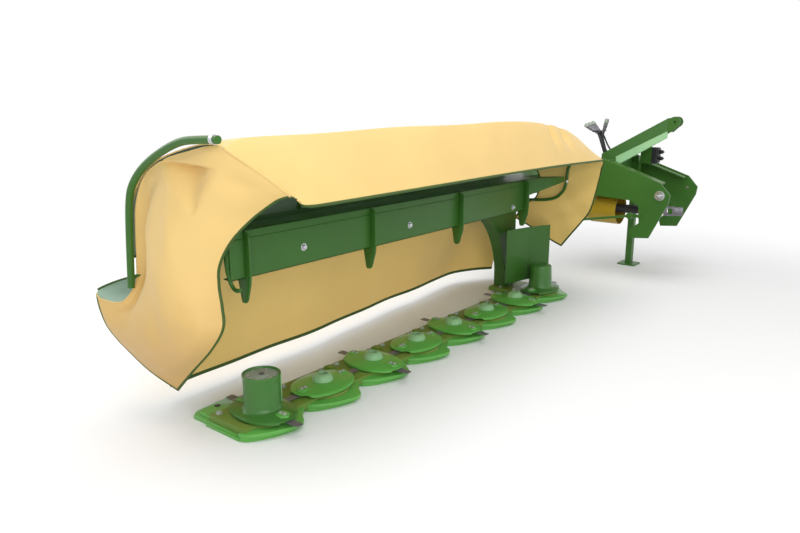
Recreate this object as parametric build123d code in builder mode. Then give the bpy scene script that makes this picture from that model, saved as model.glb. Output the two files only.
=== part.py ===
# Rear-mounted disc mower with eight rotors under a cloth hood that is folded up.
# X points forward (the way it travels), Y left towards the tractor, Z up, in millimetres.
# The origin lies on the ground under the middle of the machine.

import os
from math import atan2, cos, degrees, hypot, radians, sin

from build123d import *

os.makedirs("parts", exist_ok=True)

# Rotor row: rotor 1 is the outermost, rotor 8 the innermost
rotor_count = 8
rotor_pitch = 430
rotor_x = 90
inner_rotor_y = 750
rotor_ys = [inner_rotor_y - rotor_pitch * (rotor_count - 1 - i) for i in range(rotor_count)]
outer_rotor_y = rotor_ys[0]
running_clearance = 0.05
face_gap = 0.3

# Cutter bar: gearbox bed with rounded lobes, on wear skids
skid_height = 16
bed_height = 44
bed_top = skid_height + bed_height
bed_rear_reach = 200
bed_front_reach = 80
bed_lobe_radius = 150
bed_chamfer = 9
bar_outer_margin = 190
bar_inner_margin = 190
bar_outer_y = outer_rotor_y - bar_outer_margin
bar_inner_y = inner_rotor_y + bar_inner_margin
skid_lobe_radius = 174
skid_width = 340
skid_flare = 28
end_shoe_reach = 360
bar_tongue_reach = 420
bar_tongue_width = 330

# Rotors
journal_radius = 20
journal_depth = 26
disc_half_length = 205
disc_half_width = 145
disc_rise = 17
disc_edge = 5
disc_above_bed = 17
disc_bottom = bed_top + disc_above_bed
disc_dome_height = 26
disc_cap_height = 9
disc_cap_width = 64
disc_cap_length = 176
stud_reach = 178
stud_radius = 9
stud_head_radius = 15
stud_head_height = 4
blade_thickness = 4
blade_length = 122
blade_width = 46
blade_tail = 22
drum_radius = 95
drum_top = 277
drum_wall = 6
drum_plug_depth = 14
inner_drum_top = 284
inner_drum_top_radius = 80
drum_foot_height = 18

# Carrier beam and guard sheet
beam_rear_x = -310
beam_depth = 160
beam_bottom = 830
beam_height = 162
beam_top = beam_bottom + beam_height
beam_wall = 8
beam_outer_y = -2350
beam_inner_y = 1350
sheet_x = 10
sheet_thickness = 6
sheet_bottom = 755
sheet_inner_y = 590
sheet_corner_x = 150
sheet_corner_y = 985
sheet_corner_rise = 130
sheet_flange = 60
rib_pitch = 940
rib_count = 4
rib_outer_y = -2260
rib_thickness = 12
rib_reach = 42
rib_tip = 625

# Post that carries the bar, with its bent shield
post_rear_x = -320
post_depth = 100
post_inner_y = 850
post_foot_y = 680
post_head_y = 380
post_neck_z = 190
shield_thickness = 8
shield_bottom = 128
shield_top = 580
shield_outer = (-110, 510)
shield_bend = (-48, 760)
shield_inner = (40, 982)

# Hood: bows on a hinge tube behind the beam, cloth over them
hood_pivot_x = -380
hood_pivot_z = 900
hinge_tube_radius = 20
bow_radius = 21
inner_bow_radius = 13
bow_front_x = 300
bow_front_z = 1449
bow_top_x = -205
bow_top_z = 1302
bow_rear_x = -433
bow_rear_z = 1071
bow_end_x = -469
bow_end_z = 707
bow_bend = 150
outer_bow_y = -2612
inner_bow_y = 1034
middle_bow_ys = (-1480, -330)
cloth_thickness = 4
cloth_gap = 1
apron_lead = 36
hem_x = 462
hem_z = 1155
side_panel_y = outer_bow_y + bow_radius + 5
cover_outer_y = side_panel_y
cover_inner_y = inner_bow_y + inner_bow_radius + 6
inner_panel_y = cover_inner_y
inner_panel_clear = 262
bracket_thickness = 10
bracket_ys = (-2300, -640, 900)
rail_x = -452
rail_z = 872
rail_radius = 12
curtain_hem_x = -600
curtain_hem_z = 100
curtain_outer_y = -2480
curtain_inner_y = 1000

# Fold hinge between arm and beam
fold_y = 1470
fold_z = 1000
fold_pin_radius = 22
fold_ear = 25
fold_gap = 10
knuckle_radius = 50
ear_radius = 60

# Break-away pivot between headstock and arm
swing_x = -50
swing_y = 2000
swing_pin_radius = 25
swing_barrel_radius = 60
swing_ear = 30
arm_bottom = 935
arm_top = 1050

# Headstock on a category 2 three-point linkage
centre_y = 2170
shoulder_half = 412
lower_pin_x = 690
lower_pin_z = 800
lower_pin_radius = 14
lower_pin_reach = 85
lower_collar_radius = 26
lower_collar_length = 10
top_link_x = 650
top_link_z = 1427
top_link_bore = 12.75
top_link_gap = 54
top_link_ear = 20
hitch_plate = 20
near_flange = 150
far_flange = 100
root_x = 40
root_depth = 150
root_bottom = 800
root_height = 280
root_top = root_bottom + root_height
root_wall = 10
swing_ear_gap = root_height - 2 * swing_ear

# Lift cylinder
lift_x = -380
lift_base_y = 2370
lift_base_z = 1050
lift_eye_y = 1400
lift_eye_z = 1190
lift_barrel_radius = 38
lift_rod_radius = 19
lift_pin_radius = 14
lift_eye_radius = 30
lift_eye_width = 36
lift_lug = 10
lift_lug_gap = 48

# Drive: case on the arm, guard cup, universal shaft
case_x = -105
case_depth = 60
input_y = 1950
input_z = 620
case_lower_radius = 130
case_upper_radius = 108
cup_length = 325
cup_rear_radius = 118
cup_radius = 140
cup_wall = 4
stub_radius = 17.5
stub_length = 90
shaft_start_x = 60
shaft_end_x = 715
shaft_end_y = 2130
shaft_radius = 27
guard_radius = 40
guard_wall = 4

# Valve block on a web under the upper arm
valve_x = 450
valve_z = 1115
valve_width = 90
valve_web = 8

# Hose holder behind the root box
holder_x = -75
holder_y = 2175
holder_z = 1330

# Break-away strut
strut_offset = 32

# Parking stand
stand_y = 2415
stand_leg = 60
stand_wall = 5
stand_sleeve_wall = 8
stand_sleeve_height = 240
stand_height = 1090
stand_foot = 180


def outset(points, distance):
    """Shift an open (x, z) polyline sideways by a distance, to its left where positive, with mitred corners."""
    shifted = []
    for i, (x, z) in enumerate(points):
        normals = []
        for a, b in ((i - 1, i), (i, i + 1)):
            if a >= 0 and b < len(points):
                dx = points[b][0] - points[a][0]
                dz = points[b][1] - points[a][1]
                run = hypot(dx, dz)
                normals.append((-dz / run, dx / run))
        nx = sum(n[0] for n in normals) / len(normals)
        nz = sum(n[1] for n in normals) / len(normals)
        scale = distance / (nx * nx + nz * nz)
        shifted.append((x + nx * scale, z + nz * scale))
    return shifted


def xz(y):
    """The upright plane along travel at a y, with its local axes along X and Z."""
    return Plane(origin=(0, y, 0), x_dir=(1, 0, 0), z_dir=(0, -1, 0))


def yz(x):
    """The upright plane across travel at an x, with its local axes along Y and Z."""
    return Plane(origin=(x, 0, 0), x_dir=(0, 1, 0), z_dir=(1, 0, 0))


def finish(piece, name):
    """Label a finished piece and write its file."""
    piece.part.label = name
    export_step(piece.part, f"parts/{name}.step")


# Cutter bar
with BuildPart() as cutter_bar:
    with BuildSketch(Plane.XY.offset(skid_height)):
        with Locations((rotor_x + (bed_front_reach - bed_rear_reach) / 2, (bar_outer_y + bar_inner_y) / 2)):
            Rectangle(bed_front_reach + bed_rear_reach, bar_inner_y - bar_outer_y)
        with Locations(*[(rotor_x, y) for y in rotor_ys]):
            Circle(bed_lobe_radius)
    extrude(amount=bed_height)
    chamfer(cutter_bar.faces().sort_by(Axis.Z)[-1].outer_wire().edges(), bed_chamfer)
    with BuildSketch(Plane.XY.offset(skid_height)):
        with Locations((rotor_x - (bar_tongue_reach + bed_rear_reach) / 2, bar_inner_y - bar_tongue_width / 2)):
            Rectangle(bar_tongue_reach - bed_rear_reach + 40, bar_tongue_width)
    extrude(amount=bed_height - bed_chamfer)
    with Locations(*[(rotor_x, y, bed_top) for y in rotor_ys]):
        Hole(radius=journal_radius + running_clearance, depth=journal_depth + face_gap)
finish(cutter_bar, "cutter_bar")

# Wear skids, one under each rotor, the outermost with a long end shoe
with BuildPart() as skids:
    for index, y in enumerate(rotor_ys):
        with BuildSketch():
            with Locations((rotor_x, y)):
                Circle(skid_lobe_radius)
                Rectangle(2 * skid_lobe_radius, skid_width, mode=Mode.INTERSECT)
            with Locations((rotor_x - bed_rear_reach / 2, y)):
                Rectangle(bed_rear_reach, skid_width)
            if index == 0:
                with BuildLine():
                    Polyline(
                        (rotor_x, y),
                        (rotor_x, y - bar_outer_margin),
                        (rotor_x - end_shoe_reach + 40, y - bar_outer_margin),
                        (rotor_x - end_shoe_reach, y - bar_outer_margin + 60),
                        (rotor_x - end_shoe_reach, y + 60),
                        (rotor_x - bed_rear_reach, y + 120),
                        (rotor_x, y),
                    )
                make_face()
        extrude(amount=skid_height, taper=-skid_flare)
finish(skids, "skids")


def along(index):
    """The turn of a rotor's long axis: neighbours stand a quarter turn apart."""
    return 0 if index % 2 == 0 else 90


def rotor_disc(index, name, drum=None):
    """One rotor: domed oval disc with cap, blade studs and journal, and perhaps a drum on top."""
    place = Plane(origin=(rotor_x, rotor_ys[index], disc_bottom), x_dir=(1, 0, 0), z_dir=(0, 0, 1)).rotated(
        (0, 0, along(index))
    )
    dome_z = disc_edge + disc_dome_height
    with BuildPart() as disc:
        with BuildSketch(place):
            Ellipse(disc_half_length, disc_half_width)
        extrude(amount=disc_edge)
        with BuildSketch(place.offset(disc_edge)):
            Ellipse(disc_half_length, disc_half_width)
        with BuildSketch(place.offset(dome_z - disc_cap_height)):
            Ellipse(disc_half_length * 0.5, disc_half_width * 0.56)
        loft()
        if drum is None:
            with BuildSketch(place.offset(disc_edge)):
                SlotOverall(disc_cap_length, disc_cap_width)
            extrude(amount=disc_dome_height, taper=20)
        for side in (-1, 1):
            with BuildSketch(place.offset(-disc_above_bed + 9 + blade_thickness)):
                with Locations((side * stud_reach, 0)):
                    Circle(stud_head_radius)
            extrude(amount=disc_above_bed - 9 - blade_thickness)
            with BuildSketch(place.offset(-disc_above_bed + 9 - stud_head_height)):
                with Locations((side * stud_reach, 0)):
                    Circle(stud_radius)
            extrude(amount=stud_head_height + blade_thickness + 2)
            with BuildSketch(place.offset(-disc_above_bed + 9 - stud_head_height)):
                with Locations((side * stud_reach, 0)):
                    Circle(stud_head_radius)
            extrude(amount=stud_head_height)
        with BuildSketch(place.offset(-disc_above_bed + face_gap)):
            Circle(46)
        extrude(amount=disc_above_bed - face_gap)
        with BuildSketch(place.offset(-disc_above_bed - journal_depth)):
            Circle(journal_radius)
        extrude(amount=journal_depth + 1)
        if drum == "open":
            with BuildSketch(place.offset(disc_edge)):
                Circle(drum_radius)
            extrude(amount=drum_top - disc_bottom - disc_edge)
            with BuildSketch(place.offset(disc_edge)):
                Circle(drum_radius + 28)
            extrude(amount=drum_foot_height, taper=45)
            with BuildSketch(place.offset(drum_top - disc_bottom - drum_plug_depth)):
                Circle(drum_radius - drum_wall)
            extrude(amount=drum_plug_depth, mode=Mode.SUBTRACT)
        if drum == "closed":
            with BuildSketch(place.offset(disc_edge)):
                Circle(drum_radius)
            with BuildSketch(place.offset(inner_drum_top - disc_bottom - 14)):
                Circle(inner_drum_top_radius + 6)
            loft()
            with BuildSketch(place.offset(inner_drum_top - disc_bottom - 14)):
                Circle(inner_drum_top_radius + 6)
            extrude(amount=14, taper=40)
            with BuildSketch(place.offset(disc_edge)):
                Circle(drum_radius + 28)
            extrude(amount=drum_foot_height, taper=45)
    finish(disc, name)


def rotor_blades(index):
    """The two blades of a rotor, each hung on its stud under the disc's end."""
    place = Plane(
        origin=(rotor_x, rotor_ys[index], disc_bottom - disc_above_bed + 9), x_dir=(1, 0, 0), z_dir=(0, 0, 1)
    ).rotated((0, 0, along(index)))
    with BuildPart() as blades:
        with BuildSketch(place):
            for side in (-1, 1):
                with Locations((side * (stud_reach - blade_tail + blade_length / 2), 0)):
                    RectangleRounded(blade_length, blade_width, 8)
                with Locations((side * stud_reach, 0)):
                    Circle(stud_radius + running_clearance, mode=Mode.SUBTRACT)
        extrude(amount=blade_thickness)
    finish(blades, f"blades_{index + 1}")


rotor_discs = []
for index in range(rotor_count):
    if index == 0:
        rotor_disc(index, "drum_1", "open")
    elif index == rotor_count - 1:
        rotor_disc(index, f"drum_{rotor_count}", "closed")
    else:
        rotor_disc(index, f"disc_{index + 1}")
    rotor_blades(index)

# Carrier beam: hollow box tube with the fold ears and the lift lug at its inner end
ear_xs = (beam_rear_x - fold_gap, beam_rear_x + beam_depth + fold_gap)
with BuildPart() as carrier_beam:
    with BuildSketch(xz(beam_inner_y)):
        with Locations((beam_rear_x + beam_depth / 2, beam_bottom + beam_height / 2)):
            Rectangle(beam_depth, beam_height)
            Rectangle(beam_depth - 2 * beam_wall, beam_height - 2 * beam_wall, mode=Mode.SUBTRACT)
    extrude(amount=beam_inner_y - beam_outer_y)
    with BuildSketch(xz(beam_inner_y)):
        with Locations((beam_rear_x + beam_depth / 2, beam_bottom + beam_height / 2)):
            Rectangle(beam_depth, beam_height)
    extrude(amount=beam_wall)
    for x, side in ((beam_rear_x, 1), (beam_rear_x + beam_depth, -1)):
        with BuildSketch(yz(x)):
            with BuildLine():
                Polyline(
                    (beam_inner_y - 90, beam_bottom),
                    (beam_inner_y, beam_bottom),
                    (fold_y + 50, fold_z - 34),
                    (fold_y, fold_z + ear_radius),
                    (beam_inner_y - 90, beam_top),
                    close=True,
                )
            make_face()
            with Locations((fold_y, fold_z)):
                Circle(ear_radius)
        extrude(amount=-side * fold_ear)
    with BuildSketch(yz(beam_rear_x - fold_ear)):
        with Locations((fold_y, fold_z)):
            Circle(fold_pin_radius)
    extrude(amount=beam_depth + 2 * fold_ear, mode=Mode.SUBTRACT)
    for x in (lift_x - lift_lug_gap / 2 - lift_lug, lift_x + lift_lug_gap / 2):
        with BuildSketch(yz(x)):
            with BuildLine():
                Polyline(
                    (beam_inner_y - 130, beam_bottom + 30),
                    (beam_inner_y - 20, beam_bottom + 30),
                    (lift_eye_y + lift_eye_radius, lift_eye_z),
                    (lift_eye_y - lift_eye_radius, lift_eye_z),
                    close=True,
                )
            make_face()
            with Locations((lift_eye_y, lift_eye_z)):
                Circle(lift_eye_radius)
                Circle(lift_pin_radius, mode=Mode.SUBTRACT)
        extrude(amount=lift_lug)
    with Locations(((lift_x - lift_lug_gap / 2 - lift_lug + beam_rear_x) / 2, beam_inner_y - 90, beam_bottom + 60)):
        Box(beam_rear_x - lift_x + lift_lug_gap / 2 + lift_lug, 60, 60)
finish(carrier_beam, "carrier_beam")

# Fold pin through the ears
with BuildPart() as fold_pin:
    with BuildSketch(yz(beam_rear_x - fold_ear)):
        with Locations((fold_y, fold_z)):
            Circle(fold_pin_radius)
    extrude(amount=beam_depth + 2 * fold_ear)
    with BuildSketch(yz(beam_rear_x + beam_depth + fold_ear)):
        with Locations((fold_y, fold_z)):
            Circle(fold_pin_radius + 10)
    extrude(amount=10)
finish(fold_pin, "fold_pin")

# Guard sheet in front of the beam, its inner end swept forward, with four ribs
with BuildPart() as guard_sheet:
    with BuildSketch(Plane.XY.offset(sheet_bottom)):
        with BuildLine():
            Polyline(
                (sheet_x - sheet_thickness, beam_outer_y),
                (sheet_x, beam_outer_y),
                (sheet_x, sheet_inner_y),
                (sheet_corner_x, sheet_corner_y),
                (sheet_corner_x - sheet_thickness, sheet_corner_y + 2),
                (sheet_x - sheet_thickness, sheet_inner_y + 2),
                close=True,
            )
        make_face()
    extrude(amount=beam_top + sheet_thickness - sheet_bottom)
    with BuildSketch(Plane.XY.offset(beam_top)):
        with BuildLine():
            Polyline(
                (beam_rear_x + beam_depth, beam_outer_y),
                (sheet_x, beam_outer_y),
                (sheet_x, sheet_inner_y),
                (sheet_corner_x, sheet_corner_y),
                (sheet_corner_x - 60, sheet_corner_y),
                (beam_rear_x + beam_depth, sheet_inner_y + 120),
                close=True,
            )
        make_face()
    extrude(amount=sheet_thickness)
    with BuildSketch(Plane.XY.offset(beam_top)):
        with Locations(((beam_rear_x + beam_depth + beam_rear_x) / 2 + 20, (beam_outer_y + sheet_inner_y) / 2)):
            Rectangle(beam_depth - 40, sheet_inner_y - beam_outer_y)
    extrude(amount=sheet_thickness)
    with BuildSketch(Plane.XY.offset(sheet_bottom)):
        with Locations((sheet_x - sheet_flange / 2, (beam_outer_y + sheet_inner_y) / 2)):
            Rectangle(sheet_flange, sheet_inner_y - beam_outer_y)
    extrude(amount=sheet_thickness)
    with BuildSketch(yz(sheet_x - 2 * sheet_thickness)):
        with BuildLine():
            Polyline(
                (sheet_inner_y + 20, sheet_bottom - 10),
                (sheet_corner_y + 40, sheet_bottom - 10),
                (sheet_corner_y + 40, sheet_bottom + sheet_corner_rise),
                close=True,
            )
        make_face()
    extrude(amount=sheet_corner_x + 40, mode=Mode.SUBTRACT)
    for index in range(rib_count):
        with BuildSketch(xz(rib_outer_y + rib_pitch * index + rib_thickness / 2)):
            with BuildLine():
                Polyline(
                    (sheet_x, beam_top),
                    (sheet_x + rib_reach, beam_top - 20),
                    (sheet_x + rib_reach, sheet_bottom),
                    (sheet_x + 4, rib_tip),
                    (sheet_x - 34, rib_tip),
                    (sheet_x - sheet_flange, sheet_bottom),
                    (sheet_x, sheet_bottom),
                    close=True,
                )
            make_face()
        extrude(amount=rib_thickness)
finish(guard_sheet, "guard_sheet")

# Post from the beam down to the bar's tongue, with a curved gusset
with BuildPart() as inner_post:
    with BuildSketch(yz(post_rear_x)):
        with BuildLine():
            Line((post_inner_y, bed_top - bed_chamfer), (post_inner_y, beam_bottom))
            Line((post_inner_y, beam_bottom), (post_head_y, beam_bottom))
            Line((post_head_y, beam_bottom), (post_head_y, sheet_bottom - 60))
            RadiusArc((post_head_y, sheet_bottom - 60), (post_foot_y, post_neck_z), 700)
            Line((post_foot_y, post_neck_z), (post_foot_y, bed_top - bed_chamfer))
            Line((post_foot_y, bed_top - bed_chamfer), (post_inner_y, bed_top - bed_chamfer))
        make_face()
    extrude(amount=post_depth)
finish(inner_post, "inner_post")

# Bent shield in front of the post, above the innermost disc
post_front_x = post_rear_x + post_depth
with BuildPart() as post_shield:
    with BuildSketch(Plane.XY.offset(shield_bottom)):
        with BuildLine():
            bent = Polyline(shield_outer, shield_bend, shield_inner)
        trace(bent, shield_thickness)
    extrude(amount=shield_top - shield_bottom)
    for z in (shield_bottom + 60, shield_top - 60):
        with BuildSketch(Plane.XY.offset(z)):
            with BuildLine():
                Polyline(
                    (post_front_x, post_inner_y - 150),
                    shield_outer,
                    shield_bend,
                    (shield_inner[0] - 30, shield_inner[1] - 90),
                    (post_front_x, post_inner_y),
                    close=True,
                )
            make_face()
        extrude(amount=shield_thickness)
finish(post_shield, "post_shield")

# Hood brackets with the curtain rail
with BuildPart() as hood_brackets:
    for y in bracket_ys:
        with BuildSketch(xz(y + bracket_thickness / 2)):
            with BuildLine():
                Polyline(
                    (beam_rear_x, beam_bottom),
                    (beam_rear_x, beam_top),
                    (hood_pivot_x, hood_pivot_z + 34),
                    (rail_x - rail_radius, rail_z + rail_radius),
                    (rail_x - rail_radius, rail_z - rail_radius),
                    close=True,
                )
            make_face()
            with Locations((hood_pivot_x, hood_pivot_z)):
                Circle(36)
                Circle(hinge_tube_radius + running_clearance, mode=Mode.SUBTRACT)
        extrude(amount=bracket_thickness)
    with BuildSketch(xz(curtain_inner_y)):
        with Locations((rail_x, rail_z)):
            Circle(rail_radius)
    extrude(amount=curtain_inner_y - curtain_outer_y)
finish(hood_brackets, "hood_brackets")

# Rear curtain, hung behind the rail
curtain_x = rail_x - rail_radius - face_gap
with BuildPart() as rear_curtain:
    with BuildSketch(xz(curtain_inner_y)):
        with BuildLine():
            Polyline(
                (curtain_x, rail_z + rail_radius),
                (curtain_x, rail_z - 40),
                (curtain_hem_x, curtain_hem_z),
                (curtain_hem_x - cloth_thickness, curtain_hem_z),
                (curtain_x - cloth_thickness, rail_z - 40),
                (curtain_x - cloth_thickness, rail_z + rail_radius),
                close=True,
            )
        make_face()
    extrude(amount=curtain_inner_y - curtain_outer_y)
finish(rear_curtain, "rear_curtain")

# Hood frame: outer, middle and inner bows on one hinge tube, joined by the front tube
bow_points = [
    (bow_front_x, bow_front_z),
    (bow_top_x, bow_top_z),
    (bow_rear_x, bow_rear_z),
    (bow_end_x, bow_end_z),
]
middle_bow_end = (bow_rear_x - 12, hood_pivot_z + 30)
inner_bow_points = [
    (hood_pivot_x, hood_pivot_z),
    (-360, 785),
    (-230, 775),
    (22, 800),
    (150, 1090),
    (bow_front_x - 5, bow_front_z - 25),
]


def tube_along(points, radius, y, bend):
    """A round tube swept along an (x, z) path with bends, at one y."""
    with BuildPart() as tube:
        with BuildLine(xz(y)) as path:
            FilletPolyline(*points, radius=bend)
        with BuildSketch(Plane(origin=path.line @ 0, z_dir=path.line % 0)):
            Circle(radius)
        sweep(path=path.line)
    return tube.part


with BuildPart() as hood_frame:
    add(tube_along(bow_points, bow_radius, outer_bow_y, bow_bend))
    for y in middle_bow_ys:
        add(tube_along(bow_points[:-1] + [middle_bow_end], inner_bow_radius, y, bow_bend))
    add(tube_along(inner_bow_points, inner_bow_radius, inner_bow_y, (60, 90, 90, 60)))
    with BuildSketch(xz(inner_bow_y)):
        with Locations((bow_front_x, bow_front_z)):
            Circle(bow_radius)
    extrude(amount=inner_bow_y - outer_bow_y)
    with BuildSketch(xz(inner_bow_y)):
        with Locations((hood_pivot_x, hood_pivot_z)):
            Circle(hinge_tube_radius)
    extrude(amount=inner_bow_y - outer_bow_y)
    for y in (outer_bow_y, *middle_bow_ys):
        with BuildSketch(xz(y + bracket_thickness / 2)):
            with BuildLine():
                Polyline(
                    (hood_pivot_x, hood_pivot_z - hinge_tube_radius),
                    (hood_pivot_x, hood_pivot_z + hinge_tube_radius),
                    (bow_rear_x - 8, hood_pivot_z + 80),
                    (bow_rear_x - 12, hood_pivot_z + 32),
                    close=True,
                )
            make_face()
        extrude(amount=bracket_thickness)
finish(hood_frame, "hood_frame")

# Hood cover: front apron, roof and back in one cloth
roof_slope = (bow_front_z - bow_top_z) / (bow_front_x - bow_top_x)
roof_lead = (bow_front_x + apron_lead, bow_front_z + apron_lead * roof_slope)
cover_points = outset([roof_lead] + bow_points[1:], -(bow_radius + cloth_gap + cloth_thickness / 2))
cover_tail = (bow_end_x - bow_radius - 8, hood_pivot_z - 60)
cover_path = [(hem_x, hem_z)] + cover_points[:3] + [cover_tail]
with BuildPart() as hood_cover:
    with BuildSketch(xz(cover_inner_y)):
        with BuildLine():
            cover_line = FilletPolyline(*cover_path, radius=(24, bow_bend, bow_bend))
        trace(cover_line, cloth_thickness)
    extrude(amount=cover_inner_y - cover_outer_y)
finish(hood_cover, "hood_cover")

# Outer side cloth inside the outer bow
with BuildPart() as outer_side_cloth:
    with BuildSketch(xz(side_panel_y - face_gap)):
        with BuildLine():
            Polyline(
                (hem_x, 1225),
                (bow_front_x + 30, bow_front_z + 20),
                (bow_top_x, bow_top_z + 26),
                (bow_rear_x - 26, bow_rear_z),
                (bow_end_x - 26, bow_end_z),
                (-790, 650),
                (-740, 565),
                (-590, 455),
                (-107, 256),
                (290, 620),
                (210, 800),
                (330, 1010),
                close=True,
            )
        make_face()
        with Locations((bow_front_x, bow_front_z), (hood_pivot_x, hood_pivot_z)):
            Circle(bow_radius + cloth_gap, mode=Mode.SUBTRACT)
    extrude(amount=cloth_thickness)
finish(outer_side_cloth, "outer_side_cloth")

# Inner side cloth beside the inner bow, cut away round the beam
with BuildPart() as inner_side_cloth:
    with BuildSketch(xz(inner_panel_y + cloth_thickness + face_gap)):
        with BuildLine():
            Polyline(
                (hem_x - 20, hem_z + 4),
                (bow_front_x + 30, bow_front_z + 20),
                (bow_top_x, bow_top_z + 26),
                (bow_rear_x - 26, bow_rear_z),
                (bow_end_x - 20, hood_pivot_z - 60),
                (-330, 600),
                (13, 432),
                (119, 392),
                (361, 721),
                close=True,
            )
        make_face()
        with Locations((hood_pivot_x, hood_pivot_z)):
            Circle(inner_panel_clear, mode=Mode.SUBTRACT)
    extrude(amount=cloth_thickness)
finish(inner_side_cloth, "inner_side_cloth")

# Arm between the break-away pivot and the fold hinge
arm_front_x = case_x - 10
hanger_y = 1840
with BuildPart() as arm_frame:
    with BuildSketch(Plane.XY.offset(arm_bottom)):
        with BuildLine():
            Polyline(
                (beam_rear_x + fold_gap, fold_y + 30),
                (beam_rear_x + beam_depth - fold_gap, fold_y + 30),
                (beam_rear_x + beam_depth - fold_gap, fold_y + 85),
                (arm_front_x, fold_y + 110),
                (arm_front_x, 1780),
                (swing_x + 40, swing_y - 60),
                (swing_x, swing_y + swing_barrel_radius),
                (-330, lift_base_y + 40),
                (lift_x - 60, lift_base_y + 40),
                (lift_x - 60, lift_base_y - 60),
                (-190, 2050),
                (beam_rear_x + fold_gap, 1760),
                close=True,
            )
        make_face()
    extrude(amount=arm_top - arm_bottom)
    with BuildSketch(Plane.XY.offset(arm_bottom + 20)):
        with BuildLine():
            Polyline(
                (swing_x - 30, swing_y + 70),
                (-330, lift_base_y + 50),
                (lift_x - 70, lift_base_y + 50),
                (lift_x - 70, lift_base_y - 130),
                (-200, 2010),
                close=True,
            )
        make_face()
    extrude(amount=arm_top - arm_bottom, mode=Mode.SUBTRACT)
    with BuildSketch(Plane.XY.offset(root_bottom + swing_ear + face_gap)):
        with Locations((swing_x, swing_y)):
            Circle(swing_barrel_radius)
    extrude(amount=swing_ear_gap - 2 * face_gap)
    with BuildSketch(Plane.XY.offset(root_bottom + swing_ear)):
        with Locations((swing_x, swing_y)):
            Circle(swing_pin_radius + running_clearance)
    extrude(amount=swing_ear_gap, mode=Mode.SUBTRACT)
    with BuildSketch(yz(beam_rear_x + fold_gap)):
        with Locations((fold_y, fold_z)):
            Circle(knuckle_radius)
    extrude(amount=beam_depth - 2 * fold_gap)
    with BuildSketch(yz(beam_rear_x + fold_gap)):
        with Locations((fold_y, fold_z)):
            Circle(fold_pin_radius + running_clearance)
    extrude(amount=beam_depth - 2 * fold_gap, mode=Mode.SUBTRACT)
    for x in (lift_x - lift_lug_gap / 2 - lift_lug, lift_x + lift_lug_gap / 2):
        with BuildSketch(yz(x)):
            with BuildLine():
                Polyline(
                    (lift_base_y - 60, arm_bottom + 10),
                    (lift_base_y + 40, arm_bottom + 10),
                    (lift_base_y + 30, lift_base_z),
                    (lift_base_y - 30, lift_base_z),
                    close=True,
                )
            make_face()
            with Locations((lift_base_y, lift_base_z)):
                Circle(lift_eye_radius)
                Circle(lift_pin_radius, mode=Mode.SUBTRACT)
        extrude(amount=lift_lug)
    with Locations((-145, hanger_y + 30, (arm_bottom + 740) / 2)):
        Box(45, 60, arm_bottom - 740)
finish(arm_frame, "arm_frame")

# Break-away pin through the headstock's ears and the arm's barrel
with BuildPart() as swing_pin:
    with BuildSketch(Plane.XY.offset(root_bottom)):
        with Locations((swing_x, swing_y)):
            Circle(swing_pin_radius)
    extrude(amount=root_height)
    with BuildSketch(Plane.XY.offset(root_top)):
        with Locations((swing_x, swing_y)):
            Circle(swing_pin_radius + 12)
    extrude(amount=12)
finish(swing_pin, "swing_pin")

# Gearbox under the arm, with the input stub and the first joint of the universal shaft
shaft_run = hypot(shaft_end_x - shaft_start_x, shaft_end_y - input_y)
shaft_way = ((shaft_end_x - shaft_start_x) / shaft_run, (shaft_end_y - input_y) / shaft_run, 0)


def on_shaft(distance):
    """The plane across the universal shaft at a distance from its first joint."""
    origin = (shaft_start_x + shaft_way[0] * distance, input_y + shaft_way[1] * distance, input_z)
    return Plane(origin=origin, z_dir=shaft_way)


joint_reach = 34
spigot_radius = 15
spigot_length = 60
with BuildPart() as drive_gearbox:
    with Locations((case_x - 62, input_y, input_z)):
        Box(124, 200, 240)
    fillet(drive_gearbox.edges().filter_by(Axis.X), 30)
    with Locations((-190, input_y - 165, 500)):
        Box(20, 140, 120)
    with BuildSketch(yz(case_x + case_depth)):
        with Locations((input_y, input_z)):
            Circle(stub_radius)
    extrude(amount=shaft_start_x - case_x - case_depth)
    with Locations((shaft_start_x, input_y, input_z)):
        Box(44, 40, 66)
    with BuildSketch(on_shaft(0)):
        Circle(spigot_radius)
    extrude(amount=joint_reach + spigot_length)
finish(drive_gearbox, "drive_gearbox")

# Drive case: a slanted housing from the input up to the fold hinge's line
with BuildPart() as drive_case:
    with BuildSketch(yz(case_x)):
        with Locations((input_y, input_z)):
            Circle(case_lower_radius)
        with Locations((fold_y, fold_z)):
            Circle(case_upper_radius)
        make_hull()
    extrude(amount=case_depth)
    chamfer(drive_case.faces().sort_by(Axis.X)[-1].outer_wire().edges(), 14)
finish(drive_case, "drive_case")

# Guard cup round the first joint
with BuildPart() as shaft_cup:
    cup_start = case_x + case_depth
    with BuildSketch(Plane.XY.offset(input_z)):
        with BuildLine():
            Polyline(
                (cup_start, input_y + stub_radius + 1),
                (cup_start, input_y + cup_rear_radius),
                (cup_start + 60, input_y + cup_radius),
                (cup_start + cup_length, input_y + cup_radius),
                (cup_start + cup_length, input_y + cup_radius - cup_wall),
                (cup_start + 60, input_y + cup_radius - cup_wall),
                (cup_start + cup_wall, input_y + cup_rear_radius - cup_wall),
                (cup_start + cup_wall, input_y + stub_radius + 1),
                close=True,
            )
        make_face()
    revolve(axis=Axis((0, input_y, input_z), (1, 0, 0)))
finish(shaft_cup, "shaft_cup")

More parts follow.
